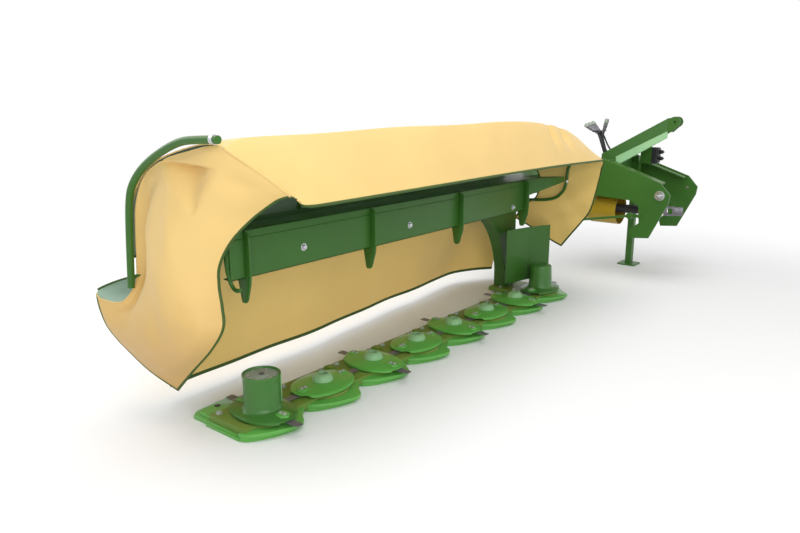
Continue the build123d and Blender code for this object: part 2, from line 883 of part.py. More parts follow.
# Universal shaft: it turns on the first joint's spigot inside its guard tube
fork_length = 90
guard_start = joint_reach + 14
guard_end = shaft_run - fork_length - 20
with BuildPart() as pto_shaft:
    with BuildSketch(on_shaft(joint_reach + face_gap)):
        Circle(shaft_radius)
        Circle(spigot_radius + running_clearance, mode=Mode.SUBTRACT)
    extrude(amount=spigot_length + 1)
    with BuildSketch(on_shaft(joint_reach + spigot_length + 1)):
        Circle(shaft_radius)
    extrude(amount=shaft_run - fork_length - joint_reach - spigot_length)
    with BuildSketch(on_shaft(shaft_run - fork_length)):
        Circle(44)
    extrude(amount=28)
    for side in (-1, 1):
        with BuildSketch(on_shaft(shaft_run - fork_length + 27)):
            with Locations((0, side * 34)):
                Rectangle(46, 16)
        extrude(amount=fork_length - 20)
    with BuildSketch(on_shaft(shaft_run)):
        Circle(40)
        Circle(stub_radius, mode=Mode.SUBTRACT)
    extrude(amount=75)
    with BuildSketch(on_shaft(shaft_run - 14)):
        RectangleRounded(60, 80, 12)
    extrude(amount=15)
finish(pto_shaft, "pto_shaft")

with BuildPart() as shaft_guard:
    with BuildSketch(on_shaft(guard_start)):
        Circle(guard_radius)
        Circle(guard_radius - guard_wall, mode=Mode.SUBTRACT)
    extrude(amount=guard_end - guard_start)
    for at in (guard_start, guard_end - 12):
        with BuildSketch(on_shaft(at)):
            Circle(guard_radius - 1)
            Circle(shaft_radius + running_clearance, mode=Mode.SUBTRACT)
        extrude(amount=12)
    with BuildSketch(on_shaft(guard_start)):
        Circle(62)
        Circle(guard_radius - 1, mode=Mode.SUBTRACT)
    with BuildSketch(on_shaft(guard_start + 70)):
        Circle(guard_radius + 2)
        Circle(guard_radius - 1, mode=Mode.SUBTRACT)
    loft()
finish(shaft_guard, "shaft_guard")

# Headstock: hollow root box with the swing ears and the stand's sleeve
stand_x = root_x + root_depth + stand_leg / 2 + stand_sleeve_wall - 1
near_y = centre_y - shoulder_half
far_y = centre_y + shoulder_half
with BuildPart() as headstock:
    with BuildSketch(xz(far_y - hitch_plate)):
        with Locations((root_x + root_depth / 2, root_bottom + root_height / 2)):
            Rectangle(root_depth, root_height)
            Rectangle(root_depth - 2 * root_wall, root_height - 2 * root_wall, mode=Mode.SUBTRACT)
    extrude(amount=far_y - near_y - 2 * hitch_plate)
    for z in (root_bottom, root_top - swing_ear):
        with BuildSketch(Plane.XY.offset(z)):
            with BuildLine():
                Polyline(
                    (root_x + 1, swing_y - 110),
                    (root_x + 1, swing_y + 110),
                    (swing_x, swing_y + 66),
                    (swing_x, swing_y - 66),
                    close=True,
                )
            make_face()
            with Locations((swing_x, swing_y)):
                Circle(66)
                Circle(swing_pin_radius + running_clearance, mode=Mode.SUBTRACT)
        extrude(amount=swing_ear)
    with Locations((stand_x, stand_y, root_bottom + stand_sleeve_height / 2)):
        sleeve = stand_leg + 2 * (stand_sleeve_wall + running_clearance)
        Box(sleeve, sleeve, stand_sleeve_height)
        hollow = stand_leg + 2 * running_clearance
        Box(hollow, hollow, stand_sleeve_height, mode=Mode.SUBTRACT)
finish(headstock, "headstock")

# Side plates of the headstock, with the flange along each upper edge
with BuildPart() as hitch_plates:
    for y in (near_y + hitch_plate, far_y):
        with BuildSketch(xz(y)):
            with BuildLine():
                Polyline(
                    (root_x, root_bottom - 40),
                    (root_x, root_top),
                    (root_x + 110, root_top + 20),
                    (lower_pin_x, 910),
                    (lower_pin_x + 90, lower_pin_z + 10),
                    (lower_pin_x + 80, 735),
                    (620, 412),
                    (462, 397),
                    (440, 470),
                    (525, 540),
                    (510, 690),
                    (440, 738),
                    close=True,
                )
            make_face()
            with Locations((lower_pin_x, lower_pin_z)):
                Circle(lower_pin_radius + running_clearance, mode=Mode.SUBTRACT)
        extrude(amount=hitch_plate)
    for y, width in ((near_y + hitch_plate, near_flange), (far_y - hitch_plate - far_flange, far_flange)):
        with BuildSketch(xz(y + width)):
            with BuildLine():
                Polyline(
                    (root_x + root_depth, root_top - 22),
                    (root_x + root_depth, root_top - 7),
                    (lower_pin_x - 12, 902),
                    (lower_pin_x - 16, 890),
                    close=True,
                )
            make_face()
        extrude(amount=width)
finish(hitch_plates, "hitch_plates")

# Mast: a tapering channel from the root box up to the top link clevis
with BuildPart() as mast:
    with BuildSketch(Plane(origin=(root_x + 20, centre_y, 0), x_dir=(0, 1, 0), z_dir=(1, 0, 0))):
        with Locations((0, root_top - 10)):
            Rectangle(450, 120)
    with BuildSketch(Plane(origin=(590, centre_y, 0), x_dir=(0, 1, 0), z_dir=(1, 0, 0))):
        with Locations((0, 1396)):
            Rectangle(top_link_gap + 2 * top_link_ear, 130)
    loft()
    with BuildSketch(Plane(origin=(root_x + 10, centre_y, 0), x_dir=(0, 1, 0), z_dir=(1, 0, 0))):
        with Locations((0, root_top - 60)):
            Rectangle(430, 180)
    with BuildSketch(Plane(origin=(640, centre_y, 0), x_dir=(0, 1, 0), z_dir=(1, 0, 0))):
        with Locations((0, 1352)):
            Rectangle(top_link_gap, 190)
    loft(mode=Mode.SUBTRACT)
    for side in (-1, 1):
        with BuildSketch(xz(centre_y + side * (top_link_gap + top_link_ear) / 2 + top_link_ear / 2)):
            with BuildLine():
                Polyline(
                    (540, 1335),
                    (540, 1425),
                    (top_link_x - 20, top_link_z + 44),
                    (top_link_x + 20, top_link_z - 44),
                    (620, 1335),
                    close=True,
                )
            make_face()
            with Locations((top_link_x, top_link_z)):
                Circle(48)
                Circle(top_link_bore, mode=Mode.SUBTRACT)
        extrude(amount=top_link_ear)
    with Locations((valve_x - 50, centre_y, valve_z + 65)):
        Box(100, valve_web, 280)
    with Locations((root_x + root_depth / 2, centre_y, root_bottom + root_height / 2)):
        Box(root_depth, 2 * shoulder_half, root_height, mode=Mode.SUBTRACT)
finish(mast, "mast")

# Category 2 lower link pins, collared against the side plates
with BuildPart() as hitch_pins:
    for y, side in ((near_y, -1), (far_y, 1)):
        with BuildSketch(xz(y - side * hitch_plate)):
            with Locations((lower_pin_x, lower_pin_z)):
                Circle(lower_pin_radius)
        extrude(amount=-side * (hitch_plate + lower_collar_length + lower_pin_reach))
        with BuildSketch(xz(y)):
            with Locations((lower_pin_x, lower_pin_z)):
                Circle(lower_collar_radius)
        extrude(amount=-side * lower_collar_length)
finish(hitch_pins, "hitch_pins")

# Lift cylinder: barrel on the arm, rod to the beam's lug
lift_run = hypot(lift_base_y - lift_eye_y, lift_eye_z - lift_base_z)
lift_way = (0, (lift_eye_y - lift_base_y) / lift_run, (lift_eye_z - lift_base_z) / lift_run)


def on_lift(distance):
    """The plane across the lift cylinder at a distance from its base eye."""
    origin = (lift_x, lift_base_y + lift_way[1] * distance, lift_base_z + lift_way[2] * distance)
    return Plane(origin=origin, z_dir=lift_way)


barrel_end = lift_run - 420
rod_start = barrel_end - 120
barrel_start = lift_eye_radius + 30
gland_bore = lift_rod_radius + running_clearance
with BuildPart() as lift_barrel:
    with BuildSketch(yz(lift_x - lift_eye_width / 2)):
        with Locations((lift_base_y, lift_base_z)):
            Circle(lift_eye_radius)
    extrude(amount=lift_eye_width)
    with BuildSketch(on_lift(16)):
        Rectangle(lift_eye_width, lift_eye_width)
    extrude(amount=barrel_start - 16)
    with BuildSketch(on_lift(barrel_start)):
        Circle(lift_barrel_radius)
    extrude(amount=barrel_end - barrel_start)
    with BuildSketch(on_lift(barrel_end - 26)):
        Circle(lift_barrel_radius + 4)
    extrude(amount=26)
    with BuildSketch(on_lift(barrel_start + 20)):
        Circle(gland_bore)
    extrude(amount=barrel_end - barrel_start - 20, mode=Mode.SUBTRACT)
    with BuildSketch(yz(lift_x - lift_lug_gap / 2 - lift_lug)):
        with Locations((lift_base_y, lift_base_z)):
            Circle(lift_pin_radius - running_clearance)
    extrude(amount=lift_lug_gap + 2 * lift_lug)
finish(lift_barrel, "lift_barrel")

with BuildPart() as lift_rod:
    with BuildSketch(on_lift(rod_start)):
        Circle(lift_rod_radius)
    extrude(amount=lift_run - lift_eye_radius + 4 - rod_start)
    with BuildSketch(yz(lift_x - lift_eye_width / 2)):
        with Locations((lift_eye_y, lift_eye_z)):
            Circle(lift_eye_radius)
            Circle(lift_pin_radius, mode=Mode.SUBTRACT)
    extrude(amount=lift_eye_width)
finish(lift_rod, "lift_rod")

# Break-away strut beside the near hitch plate
strut_y = near_y - strut_offset
with BuildPart() as break_strut:
    strut_start = (430, strut_y, 600)
    strut_end = (-170, strut_y, 492)
    with BuildSketch(Plane(origin=strut_start, z_dir=(strut_end[0] - strut_start[0], 0, strut_end[2] - strut_start[2]))):
        Circle(11)
    extrude(amount=hypot(600, 108))
    with BuildSketch(xz(near_y)):
        with Locations((448, 603)):
            Circle(28)
    extrude(amount=strut_offset + 12)
    with BuildSketch(xz(near_y)):
        with Locations((500, 603)):
            Rectangle(120, 30)
    extrude(amount=8)
finish(break_strut, "break_strut")

# Parking stand: square leg in the headstock's sleeve, lowered to the ground
with BuildPart() as stand_leg_part:
    with BuildSketch(Plane.XY.offset(12)):
        with Locations((stand_x, stand_y)):
            Rectangle(stand_leg, stand_leg)
            Rectangle(stand_leg - 2 * stand_wall, stand_leg - 2 * stand_wall, mode=Mode.SUBTRACT)
    extrude(amount=stand_height - 12)
    with BuildSketch():
        with Locations((stand_x, stand_y)):
            RectangleRounded(stand_foot, stand_foot, 20)
    extrude(amount=12)
finish(stand_leg_part, "parking_stand")

# Valve block and hose holder on the headstock
with BuildPart() as valve_block:
    with Locations((valve_x, centre_y + (valve_web + valve_width) / 2, valve_z)):
        Box(100, valve_width, 150)
    chamfer(valve_block.edges().filter_by(Axis.Z), 10)
finish(valve_block, "valve_block")

with BuildPart() as hose_holder:
    with Locations((root_x - 6, holder_y, root_top - 50)):
        Box(12, 110, 70)
    with BuildSketch(xz(holder_y + 6)):
        with BuildLine():
            Polyline(
                (root_x, root_top - 80),
                (root_x, root_top - 20),
                (holder_x + 25, holder_z),
                (holder_x - 25, holder_z),
                (root_x - 12, root_top - 80),
                close=True,
            )
        make_face()
    extrude(amount=12)
    with Locations((holder_x, holder_y, holder_z)):
        Box(60, 200, 10)
finish(hose_holder, "hose_holder")
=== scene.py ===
"""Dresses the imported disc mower: paint, cloth hood, rotors, hitch and drive."""

import logging
import math
from dataclasses import dataclass, field
from enum import Enum
from typing import Callable, Sequence

import bmesh
import bpy
from mathutils import Matrix, Vector


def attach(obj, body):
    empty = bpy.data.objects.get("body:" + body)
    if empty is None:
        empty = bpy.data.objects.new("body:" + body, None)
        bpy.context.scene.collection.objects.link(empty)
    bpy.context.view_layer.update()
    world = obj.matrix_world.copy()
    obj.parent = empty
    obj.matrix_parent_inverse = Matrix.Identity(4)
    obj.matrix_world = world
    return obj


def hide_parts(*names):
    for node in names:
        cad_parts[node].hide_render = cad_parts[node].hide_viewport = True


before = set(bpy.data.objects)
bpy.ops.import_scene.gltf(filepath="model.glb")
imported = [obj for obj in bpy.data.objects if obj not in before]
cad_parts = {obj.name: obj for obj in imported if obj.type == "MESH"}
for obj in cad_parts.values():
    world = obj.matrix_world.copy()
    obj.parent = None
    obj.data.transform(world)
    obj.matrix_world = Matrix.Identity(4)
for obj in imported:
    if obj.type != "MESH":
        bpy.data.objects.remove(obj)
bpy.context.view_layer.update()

log = logging.getLogger("disc_mower")

Point = tuple[float, float, float]
Colour = tuple[float, float, float]
Piece = bpy.types.Object
Plug = bpy.types.NodeSocket


def linear(red: int, green: int, blue: int) -> Colour:
    """A colour seen on a screen, 0 to 255 each, as the linear values that materials take."""
    parts = [level / 255 for level in (red, green, blue)]
    return tuple(part / 12.92 if part <= 0.04045 else ((part + 0.055) / 1.055) ** 2.4 for part in parts)


class Socket(Enum):
    """The kinds of socket on a shared effect."""

    NUMBER = "NodeSocketFloat"
    COLOUR = "NodeSocketColor"


class NodeSketch:
    """A node tree that is wired up by name."""

    def __init__(self, tree: bpy.types.NodeTree) -> None:
        """Keeps the tree and starts it empty."""
        self.tree = tree
        tree.nodes.clear()

    def add(self, kind: str, **values: object) -> bpy.types.Node:
        """Adds a node.

        Args:
            kind: the node's type name.
            values: properties of the node, by name.

        Returns:
            The new node.
        """
        node = self.tree.nodes.new(kind)
        for name, value in values.items():
            setattr(node, name, value)
        return node

    def join(self, source: Plug, target: Plug) -> None:
        """Links two sockets."""
        self.tree.links.new(source, target)

    def noise(self, place: Plug, scale: float, detail: float = 3.0) -> Plug:
        """Adds a noise texture.

        Args:
            place: the coordinate it reads.
            scale: its scale, per metre.
            detail: how many octaves it has.

        Returns:
            Its factor output.
        """
        node = self.add("ShaderNodeTexNoise")
        node.inputs["Scale"].default_value = scale
        node.inputs["Detail"].default_value = detail
        self.join(place, node.inputs["Vector"])
        return node.outputs["Fac"]

    def effect(self, group: bpy.types.NodeTree, **inputs: object) -> bpy.types.Node:
        """Adds a shared effect.

        Args:
            group: its node group.
            inputs: the values of its inputs, by name.

        Returns:
            The group's node.
        """
        node = self.add("ShaderNodeGroup", node_tree=group)
        for name, value in inputs.items():
            node.inputs[name].default_value = (*value, 1.0) if isinstance(value, tuple) else value
        return node

    def seen_directly(self) -> Plug:
        """A mask for what the camera sees, straight or in a gloss."""
        path = self.add("ShaderNodeLightPath")
        return self.math("MAXIMUM", path.outputs["Is Camera Ray"], path.outputs["Is Glossy Ray"])

    def remap(self, value: Plug, low: float, high: float, to_low: float, to_high: float) -> Plug:
        """Maps a value from one range to another, clamped.

        Args:
            value: the value to map.
            low: the value that gives to_low.
            high: the value that gives to_high.
            to_low: the result at low.
            to_high: the result at high.

        Returns:
            The mapped value.
        """
        node = self.add("ShaderNodeMapRange", interpolation_type="SMOOTHSTEP")
        for name, number in (("From Min", low), ("From Max", high), ("To Min", to_low), ("To Max", to_high)):
            node.inputs[name].default_value = number
        self.join(value, node.inputs["Value"])
        return node.outputs["Result"]

    def math(self, operation: str, first: object, second: object) -> Plug:
        """Adds a math node.

        Args:
            operation: its operation.
            first: a socket or a number.
            second: a socket or a number.

        Returns:
            Its value output.
        """
        node = self.add("ShaderNodeMath", operation=operation)
        for socket, value in zip(node.inputs, (first, second)):
            if isinstance(value, (int, float)):
                socket.default_value = value
            else:
                self.join(value, socket)
        return node.outputs[0]

    def mix(self, factor: object, first: object, second: object, blend: str = "MIX") -> Plug:
        """Mixes two colours.

        Args:
            factor: a socket or a number, 0 for the first colour.
            first: a socket or a colour.
            second: a socket or a colour.
            blend: the blend mode.

        Returns:
            The mixed colour.
        """
        node = self.add("ShaderNodeMix", data_type="RGBA", blend_type=blend)
        for index, value in ((0, factor), (6, first), (7, second)):
            if isinstance(value, (int, float)):
                node.inputs[index].default_value = value
            elif isinstance(value, tuple):
                node.inputs[index].default_value = (*value, 1.0)
            else:
                self.join(value, node.inputs[index])
        return node.outputs[2]

    def bump(self, height: Plug, strength: float, distance: float) -> Plug:
        """Adds a bump node.

        Args:
            height: the height that it reads.
            strength: how strong it is.
            distance: the height of one unit, in metres.

        Returns:
            Its normal output.
        """
        node = self.add("ShaderNodeBump")
        node.inputs["Strength"].default_value = strength
        node.inputs["Distance"].default_value = distance
        self.join(height, node.inputs["Height"])
        return node.outputs["Normal"]


def shared_effect(
    name: str, inputs: Sequence[tuple[str, Socket, object]], outputs: Sequence[tuple[str, Socket]],
) -> tuple[bpy.types.NodeTree, NodeSketch, bpy.types.Node, bpy.types.Node]:
    """Starts a node group with named inputs and outputs.

    Args:
        name: the group's name.
        inputs: name, kind and default of each input.
        outputs: name and kind of each output.

    Returns:
        The group, its sketch, and its input and output nodes.
    """
    group = bpy.data.node_groups.new(name, "ShaderNodeTree")
    for title, kind, value in inputs:
        socket = group.interface.new_socket(title, in_out="INPUT", socket_type=kind.value)
        if value is not None:
            socket.default_value = value
    for title, kind in outputs:
        group.interface.new_socket(title, in_out="OUTPUT", socket_type=kind.value)
    sketch = NodeSketch(group)
    return group, sketch, sketch.add("NodeGroupInput"), sketch.add("NodeGroupOutput")


def make_field_grime() -> bpy.types.NodeTree:
    """Dust that settles on faces that look up, with patchy edges.

    Returns:
        The group.
    """
    group, sketch, given, result = shared_effect(
        "field_grime",
        [("Base", Socket.COLOUR, (0.1, 0.1, 0.1, 1)), ("Dust", Socket.COLOUR, (0.4, 0.35, 0.2, 1)),
         ("Amount", Socket.NUMBER, 0.3), ("Scale", Socket.NUMBER, 6.0)],
        [("Colour", Socket.COLOUR), ("Mask", Socket.NUMBER)],
    )
    place = sketch.add("ShaderNodeTexCoord")
    facing = sketch.add("ShaderNodeSeparateXYZ")
    sketch.join(sketch.add("ShaderNodeNewGeometry").outputs["Normal"], facing.inputs[0])
    upward = sketch.remap(facing.outputs["Z"], 0.3, 1.0, 0.0, 1.0)
    patches = sketch.add("ShaderNodeTexNoise")
    patches.inputs["Detail"].default_value = 5.0
    sketch.join(place.outputs["Object"], patches.inputs["Vector"])
    sketch.join(given.outputs["Scale"], patches.inputs["Scale"])
    patchy = sketch.remap(patches.outputs["Fac"], 0.35, 0.7, 0.25, 1.0)
    mask = sketch.math("MULTIPLY", sketch.math("MULTIPLY", upward, patchy), given.outputs["Amount"])
    sketch.join(sketch.mix(mask, given.outputs["Base"], given.outputs["Dust"]), result.inputs["Colour"])
    sketch.join(mask, result.inputs["Mask"])
    return group


def make_tone_shift() -> bpy.types.NodeTree:
    """A slow change of tone over a surface, light and dark.

    Returns:
        The group.
    """
    group, sketch, given, result = shared_effect(
        "tone_shift",
        [("Base", Socket.COLOUR, (0.1, 0.1, 0.1, 1)), ("Amount", Socket.NUMBER, 0.1),
         ("Scale", Socket.NUMBER, 3.0)],
        [("Colour", Socket.COLOUR), ("Field", Socket.NUMBER)],
    )
    place = sketch.add("ShaderNodeTexCoord")
    cloud = sketch.add("ShaderNodeTexNoise")
    cloud.inputs["Detail"].default_value = 2.0
    sketch.join(place.outputs["Object"], cloud.inputs["Vector"])
    sketch.join(given.outputs["Scale"], cloud.inputs["Scale"])
    swing = sketch.math("SUBTRACT", cloud.outputs["Fac"], 0.5)
    factor = sketch.math("ADD", sketch.math("MULTIPLY", swing, given.outputs["Amount"]), 1.0)
    scaled = sketch.add("ShaderNodeVectorMath", operation="SCALE")
    sketch.join(given.outputs["Base"], scaled.inputs[0])
    sketch.join(factor, scaled.inputs["Scale"])
    sketch.join(scaled.outputs[0], result.inputs["Colour"])
    sketch.join(cloud.outputs["Fac"], result.inputs["Field"])
    return group


def make_weave() -> bpy.types.NodeTree:
    """The fine cross weave of coated tarpaulin, as a height.

    Returns:
        The group.
    """
    group, sketch, given, result = shared_effect(
        "tarpaulin_weave", [("Threads", Socket.NUMBER, 4200.0)], [("Height", Socket.NUMBER)],
    )
    place = sketch.add("ShaderNodeUVMap", uv_map="cloth")
    split = sketch.add("ShaderNodeSeparateXYZ")
    sketch.join(place.outputs["UV"], split.inputs[0])
    waves = []
    for axis in ("X", "Y"):
        phase = sketch.math("MULTIPLY", split.outputs[axis], given.outputs["Threads"])
        waves.append(sketch.math("SINE", phase, 0.0))
    sketch.join(sketch.math("MULTIPLY", waves[0], waves[1]), result.inputs["Height"])
    return group


FIELD_GRIME = make_field_grime()
TONE_SHIFT = make_tone_shift()
WEAVE = make_weave()


@dataclass(frozen=True)
class SurfaceFinish:
    """What all finishes share: a name, a colour and the shader that they start from."""

    name: str
    colour: Colour

    def start(self) -> tuple[bpy.types.Material, NodeSketch, bpy.types.Node, Plug]:
        """Starts the material.

        Returns:
            The material, its sketch, its shader and the coordinate that its textures read.
        """
        material = bpy.data.materials.new(self.name)
        material.use_nodes = True
        sketch = NodeSketch(material.node_tree)
        out = sketch.add("ShaderNodeOutputMaterial")
        shader = sketch.add("ShaderNodeBsdfPrincipled")
        sketch.join(shader.outputs[0], out.inputs["Surface"])
        place = sketch.add("ShaderNodeTexCoord").outputs["Object"]
        return material, sketch, shader, place


@dataclass(frozen=True)
class PaintFinish(SurfaceFinish):
    """Sprayed machine paint: clear gloss over a slightly uneven colour, with some field dust."""

    roughness: float = 0.46
    coat: float = 0.12
    dust: float = 0.08
    dust_colour: Colour = linear(150, 135, 70)
    slot: str = "green_metal"

    def material(self) -> bpy.types.Material:
        """Builds the material.

        Returns:
            The material.
        """
        material, sketch, shader, place = self.start()
        tone = sketch.effect(TONE_SHIFT, Base=self.colour, Amount=0.35, Scale=2.5)
        grime = sketch.effect(FIELD_GRIME, Dust=self.dust_colour, Amount=self.dust)
        sketch.join(tone.outputs["Colour"], grime.inputs["Base"])
        sketch.join(grime.outputs["Colour"], shader.inputs["Base Color"])
        rough = sketch.math("MULTIPLY", tone.outputs["Field"], 0.16)
        rough = sketch.math("ADD", rough, self.roughness - 0.08)
        rough = sketch.math("ADD", rough, sketch.math("MULTIPLY", grime.outputs["Mask"], 0.5))
        sketch.join(rough, shader.inputs["Roughness"])
        peel = sketch.noise(place, 220.0, 1.0)
        sketch.join(sketch.bump(peel, 0.12, 0.002), shader.inputs["Normal"])
        shader.inputs["Specular IOR Level"].default_value = 0.32
        shader.inputs["Coat Weight"].default_value = self.coat
        shader.inputs["Coat Roughness"].default_value = 0.16
        return material


@dataclass(frozen=True)
class MetalFinish(SurfaceFinish):
    """Bare metal, from worn steel to plated bolts, with fine brushing."""

    roughness: float = 0.35
    metallic: float = 1.0
    streaks: float = 0.25
    slot: str = "steel"

    def material(self) -> bpy.types.Material:
        """Builds the material.

        Returns:
            The material.
        """
        material, sketch, shader, place = self.start()
        stretched = sketch.add("ShaderNodeMapping")
        stretched.inputs["Scale"].default_value = (12.0, 160.0, 160.0)
        sketch.join(place, stretched.inputs["Vector"])
        brushing = sketch.noise(stretched.outputs[0], 1.0, 4.0)
        spots = sketch.noise(place, 45.0, 5.0)
        dark = tuple(channel * 0.45 for channel in self.colour)
        stain = sketch.remap(spots, 0.45, 0.7, 0.0, self.streaks * 2)
        sketch.join(sketch.mix(stain, self.colour, dark), shader.inputs["Base Color"])
        rough = sketch.math("ADD", sketch.math("MULTIPLY", brushing, 0.3), self.roughness - 0.15)
        sketch.join(rough, shader.inputs["Roughness"])
        sketch.join(sketch.bump(brushing, self.streaks, 0.0006), shader.inputs["Normal"])
        shader.inputs["Metallic"].default_value = self.metallic
        return material


@dataclass(frozen=True)
class PlasticFinish(SurfaceFinish):
    """Moulded plastic or rubber with a fine grain."""

    roughness: float = 0.5
    grain: float = 260.0
    dust: float = 0.1
    slot: str = "black_plastic"

    def material(self) -> bpy.types.Material:
        """Builds the material.

        Returns:
            The material.
        """
        material, sketch, shader, place = self.start()
        tone = sketch.effect(TONE_SHIFT, Base=self.colour, Amount=0.4, Scale=9.0)
        grime = sketch.effect(FIELD_GRIME, Dust=linear(150, 140, 115), Amount=self.dust)
        sketch.join(tone.outputs["Colour"], grime.inputs["Base"])
        sketch.join(grime.outputs["Colour"], shader.inputs["Base Color"])
        grain = sketch.noise(place, self.grain, 2.0)
        rough = sketch.math("ADD", sketch.math("MULTIPLY", grain, 0.2), self.roughness - 0.1)
        sketch.join(rough, shader.inputs["Roughness"])
        sketch.join(sketch.bump(grain, 0.25, 0.001), shader.inputs["Normal"])
        return material


@dataclass(frozen=True)
class ClothFinish(SurfaceFinish):
    """Coated tarpaulin: woven base under a soft plastic coat."""

    roughness: float = 0.5
    low_shade: float = 0.0
    slot: str = "cream_cloth"

    def material(self) -> bpy.types.Material:
        """Builds the material, with painted shade that darkens and browns it towards the ground.

        Returns:
            The material.
        """
        material, sketch, shader, place = self.start()
        tone = sketch.effect(TONE_SHIFT, Base=self.colour, Amount=0.14, Scale=3.0)
        height_of = sketch.add("ShaderNodeSeparateXYZ")
        sketch.join(place, height_of.inputs[0])
        # Painted shade: the colour darkens to a brown from 0.95 m down to 0.25 m, standing in for the shade
        # on the cloth's lower part.
        shade_depth = sketch.remap(height_of.outputs["Z"], 0.25, 0.95, self.low_shade, 0.0)
        shade_brown = tuple(channel * part for channel, part in zip(self.colour, (0.62, 0.52, 0.42)))
        sketch.join(sketch.mix(shade_depth, tone.outputs["Colour"], shade_brown), shader.inputs["Base Color"])
        weave = sketch.effect(WEAVE)
        creases = sketch.noise(place, 14.0, 4.0)
        height = sketch.math("ADD", sketch.math("MULTIPLY", weave.outputs["Height"], 0.12), creases)
        sketch.join(sketch.bump(height, 0.25, 0.004), shader.inputs["Normal"])
        rough = sketch.math("ADD", sketch.math("MULTIPLY", creases, 0.15), self.roughness - 0.07)
        sketch.join(rough, shader.inputs["Roughness"])
        shader.inputs["Sheen Weight"].default_value = 0.15
        shader.inputs["Sheen Roughness"].default_value = 0.4
        return material


class Finish(Enum):
    """The finishes of the mower's surfaces."""

    GREEN = PaintFinish("machine_green", linear(54, 102, 34))
    # Painted light: lighter than the machine green so that the discs, their pads and the wear shoes, which
    # face up, read as lit; the drum rotors keep the darker drum green.
    DISC_GREEN = PaintFinish("disc_green", linear(94, 168, 72), roughness=0.38, coat=0.35, dust=0.0)
    # Olive and lighter than the machine green: painted reflection on the bar's top, with field dust on its
    # up-facing faces.
    BAR_GREEN = PaintFinish("bar_green_with_sheen", linear(98, 132, 48), roughness=0.5, dust=0.3)
    EDGING = PaintFinish("edging_green", linear(60, 86, 30), roughness=0.55, coat=0.05, dust=0.0)
    CREAM = ClothFinish("cream_tarpaulin", linear(236, 201, 127), low_shade=0.75)
    # Painted light: a brighter, warmer copy of the cream for the cloth that hangs in the hood's shade,
    # standing in for the warm light bounced into it; the cream above is the copy for cloth in the open.
    SHADED_CREAM = ClothFinish("shaded_tarpaulin", linear(255, 216, 130))
    LINING = ClothFinish("tarpaulin_lining", linear(150, 176, 158), roughness=0.6)
    DRUM_GREEN = PaintFinish("drum_green", linear(62, 116, 46), roughness=0.4, coat=0.3, dust=0.0)
    HUB_GREEN = PaintFinish("hub_green", linear(136, 182, 132), roughness=0.45, dust=0.1)
    PALE_GREEN = PaintFinish("worn_green", linear(156, 166, 152), roughness=0.5, dust=0.1)
    RUBBER = PlasticFinish("hose_rubber", linear(24, 25, 27), roughness=0.55, grain=420.0)
    BLADE = MetalFinish("blade_steel", linear(122, 120, 126), roughness=0.45, metallic=0.5, streaks=0.3,
                        slot="worn_steel")
    PLATED = MetalFinish("plated_steel", linear(200, 202, 205), roughness=0.3, streaks=0.15)
    CHROME = MetalFinish("rod_chrome", linear(225, 225, 228), roughness=0.17, streaks=0.05,
                         slot="chrome")
    BLACK_METAL = PaintFinish("black_casting", linear(38, 42, 46), roughness=0.5, coat=0.1,
                              slot="dark_metal")
    BLACK_PLASTIC = PlasticFinish("black_moulding", linear(30, 30, 33))
    YELLOW = PlasticFinish("cup_yellow", linear(166, 138, 28), roughness=0.36, slot="yellow_plastic")

    def build(self) -> bpy.types.Material:
        """Returns the finish's material, made the first time it is asked for."""
        return bpy.data.materials.get(self.value.name) or self.value.material()


def deselect() -> None:
    """Leaves nothing selected."""
    if bpy.context.object and bpy.context.object.mode != "OBJECT":
        bpy.ops.object.mode_set(mode="OBJECT")
    bpy.ops.object.select_all(action="DESELECT")


def pick(pieces: Sequence[Piece]) -> None:
    """Selects some pieces and nothing else.

    Args:
        pieces: the pieces, of which the first becomes the active one.
    """
    deselect()
    for piece in pieces:
        piece.select_set(True)
    bpy.context.view_layer.objects.active = pieces[0]


def paint(piece: Piece, finish: Finish) -> None:
    """Gives a piece one finish all over."""
    piece.data.materials.clear()
    piece.data.materials.append(finish.build())


NODE_FINISHES: dict[str, Finish] = {
    "fold_pin": Finish.PLATED, "swing_pin": Finish.PLATED, "hitch_pins": Finish.PLATED,
    "drive_gearbox": Finish.BLACK_METAL, "valve_block": Finish.BLACK_METAL, "hose_holder": Finish.BLACK_METAL,
    "shaft_cup": Finish.YELLOW, "shaft_guard": Finish.BLACK_PLASTIC, "pto_shaft": Finish.BLADE,
    "lift_rod": Finish.CHROME,
}


def dress_nodes() -> None:
    """Gives every CAD node its finish: steel for the blades, and green where nothing else is named."""
    for name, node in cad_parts.items():
        usual = Finish.BLADE if name.startswith("blades_") else Finish.GREEN
        paint(node, NODE_FINISHES.get(name, usual))


def smooth_point(points: Sequence[Vector], place: float) -> Vector:
    """A point on the smooth line through some points.

    Args:
        points: what the line goes through.
        place: 0 at the first point, 1 at the last.

    Returns:
        The point there.
    """
    spans = len(points) - 1
    index = min(int(place * spans), spans - 1)
    part = place * spans - index
    start, end = points[index], points[index + 1]
    before = points[index - 1] if index > 0 else start * 2 - end
    after = points[index + 2] if index + 2 <= spans else end * 2 - start
    bend = before * 2 - start * 5 + end * 4 - after
    twist = start * 3 - before - end * 3 + after
    return start + ((end - before) * part + bend * part ** 2 + twist * part ** 3) * 0.5


def in_metres(rows: Sequence[Sequence[tuple[int, int, int]]], from_y: float = 0.0) -> list[list[Point]]:
    """Rows of points written in millimetres, with y measured from a plane, as points in metres."""
    return [[(x / 1000, from_y + y / 1000, z / 1000) for x, y, z in row] for row in rows]


def new_object(name: str, data: bpy.types.ID) -> Piece:
    """Makes an object of some data and puts it in the scene.

    Args:
        name: the object's name.
        data: its mesh, curve, lamp or camera.

    Returns:
        The object.
    """
    thing = bpy.data.objects.new(name, data)
    bpy.context.scene.collection.objects.link(thing)
    return thing


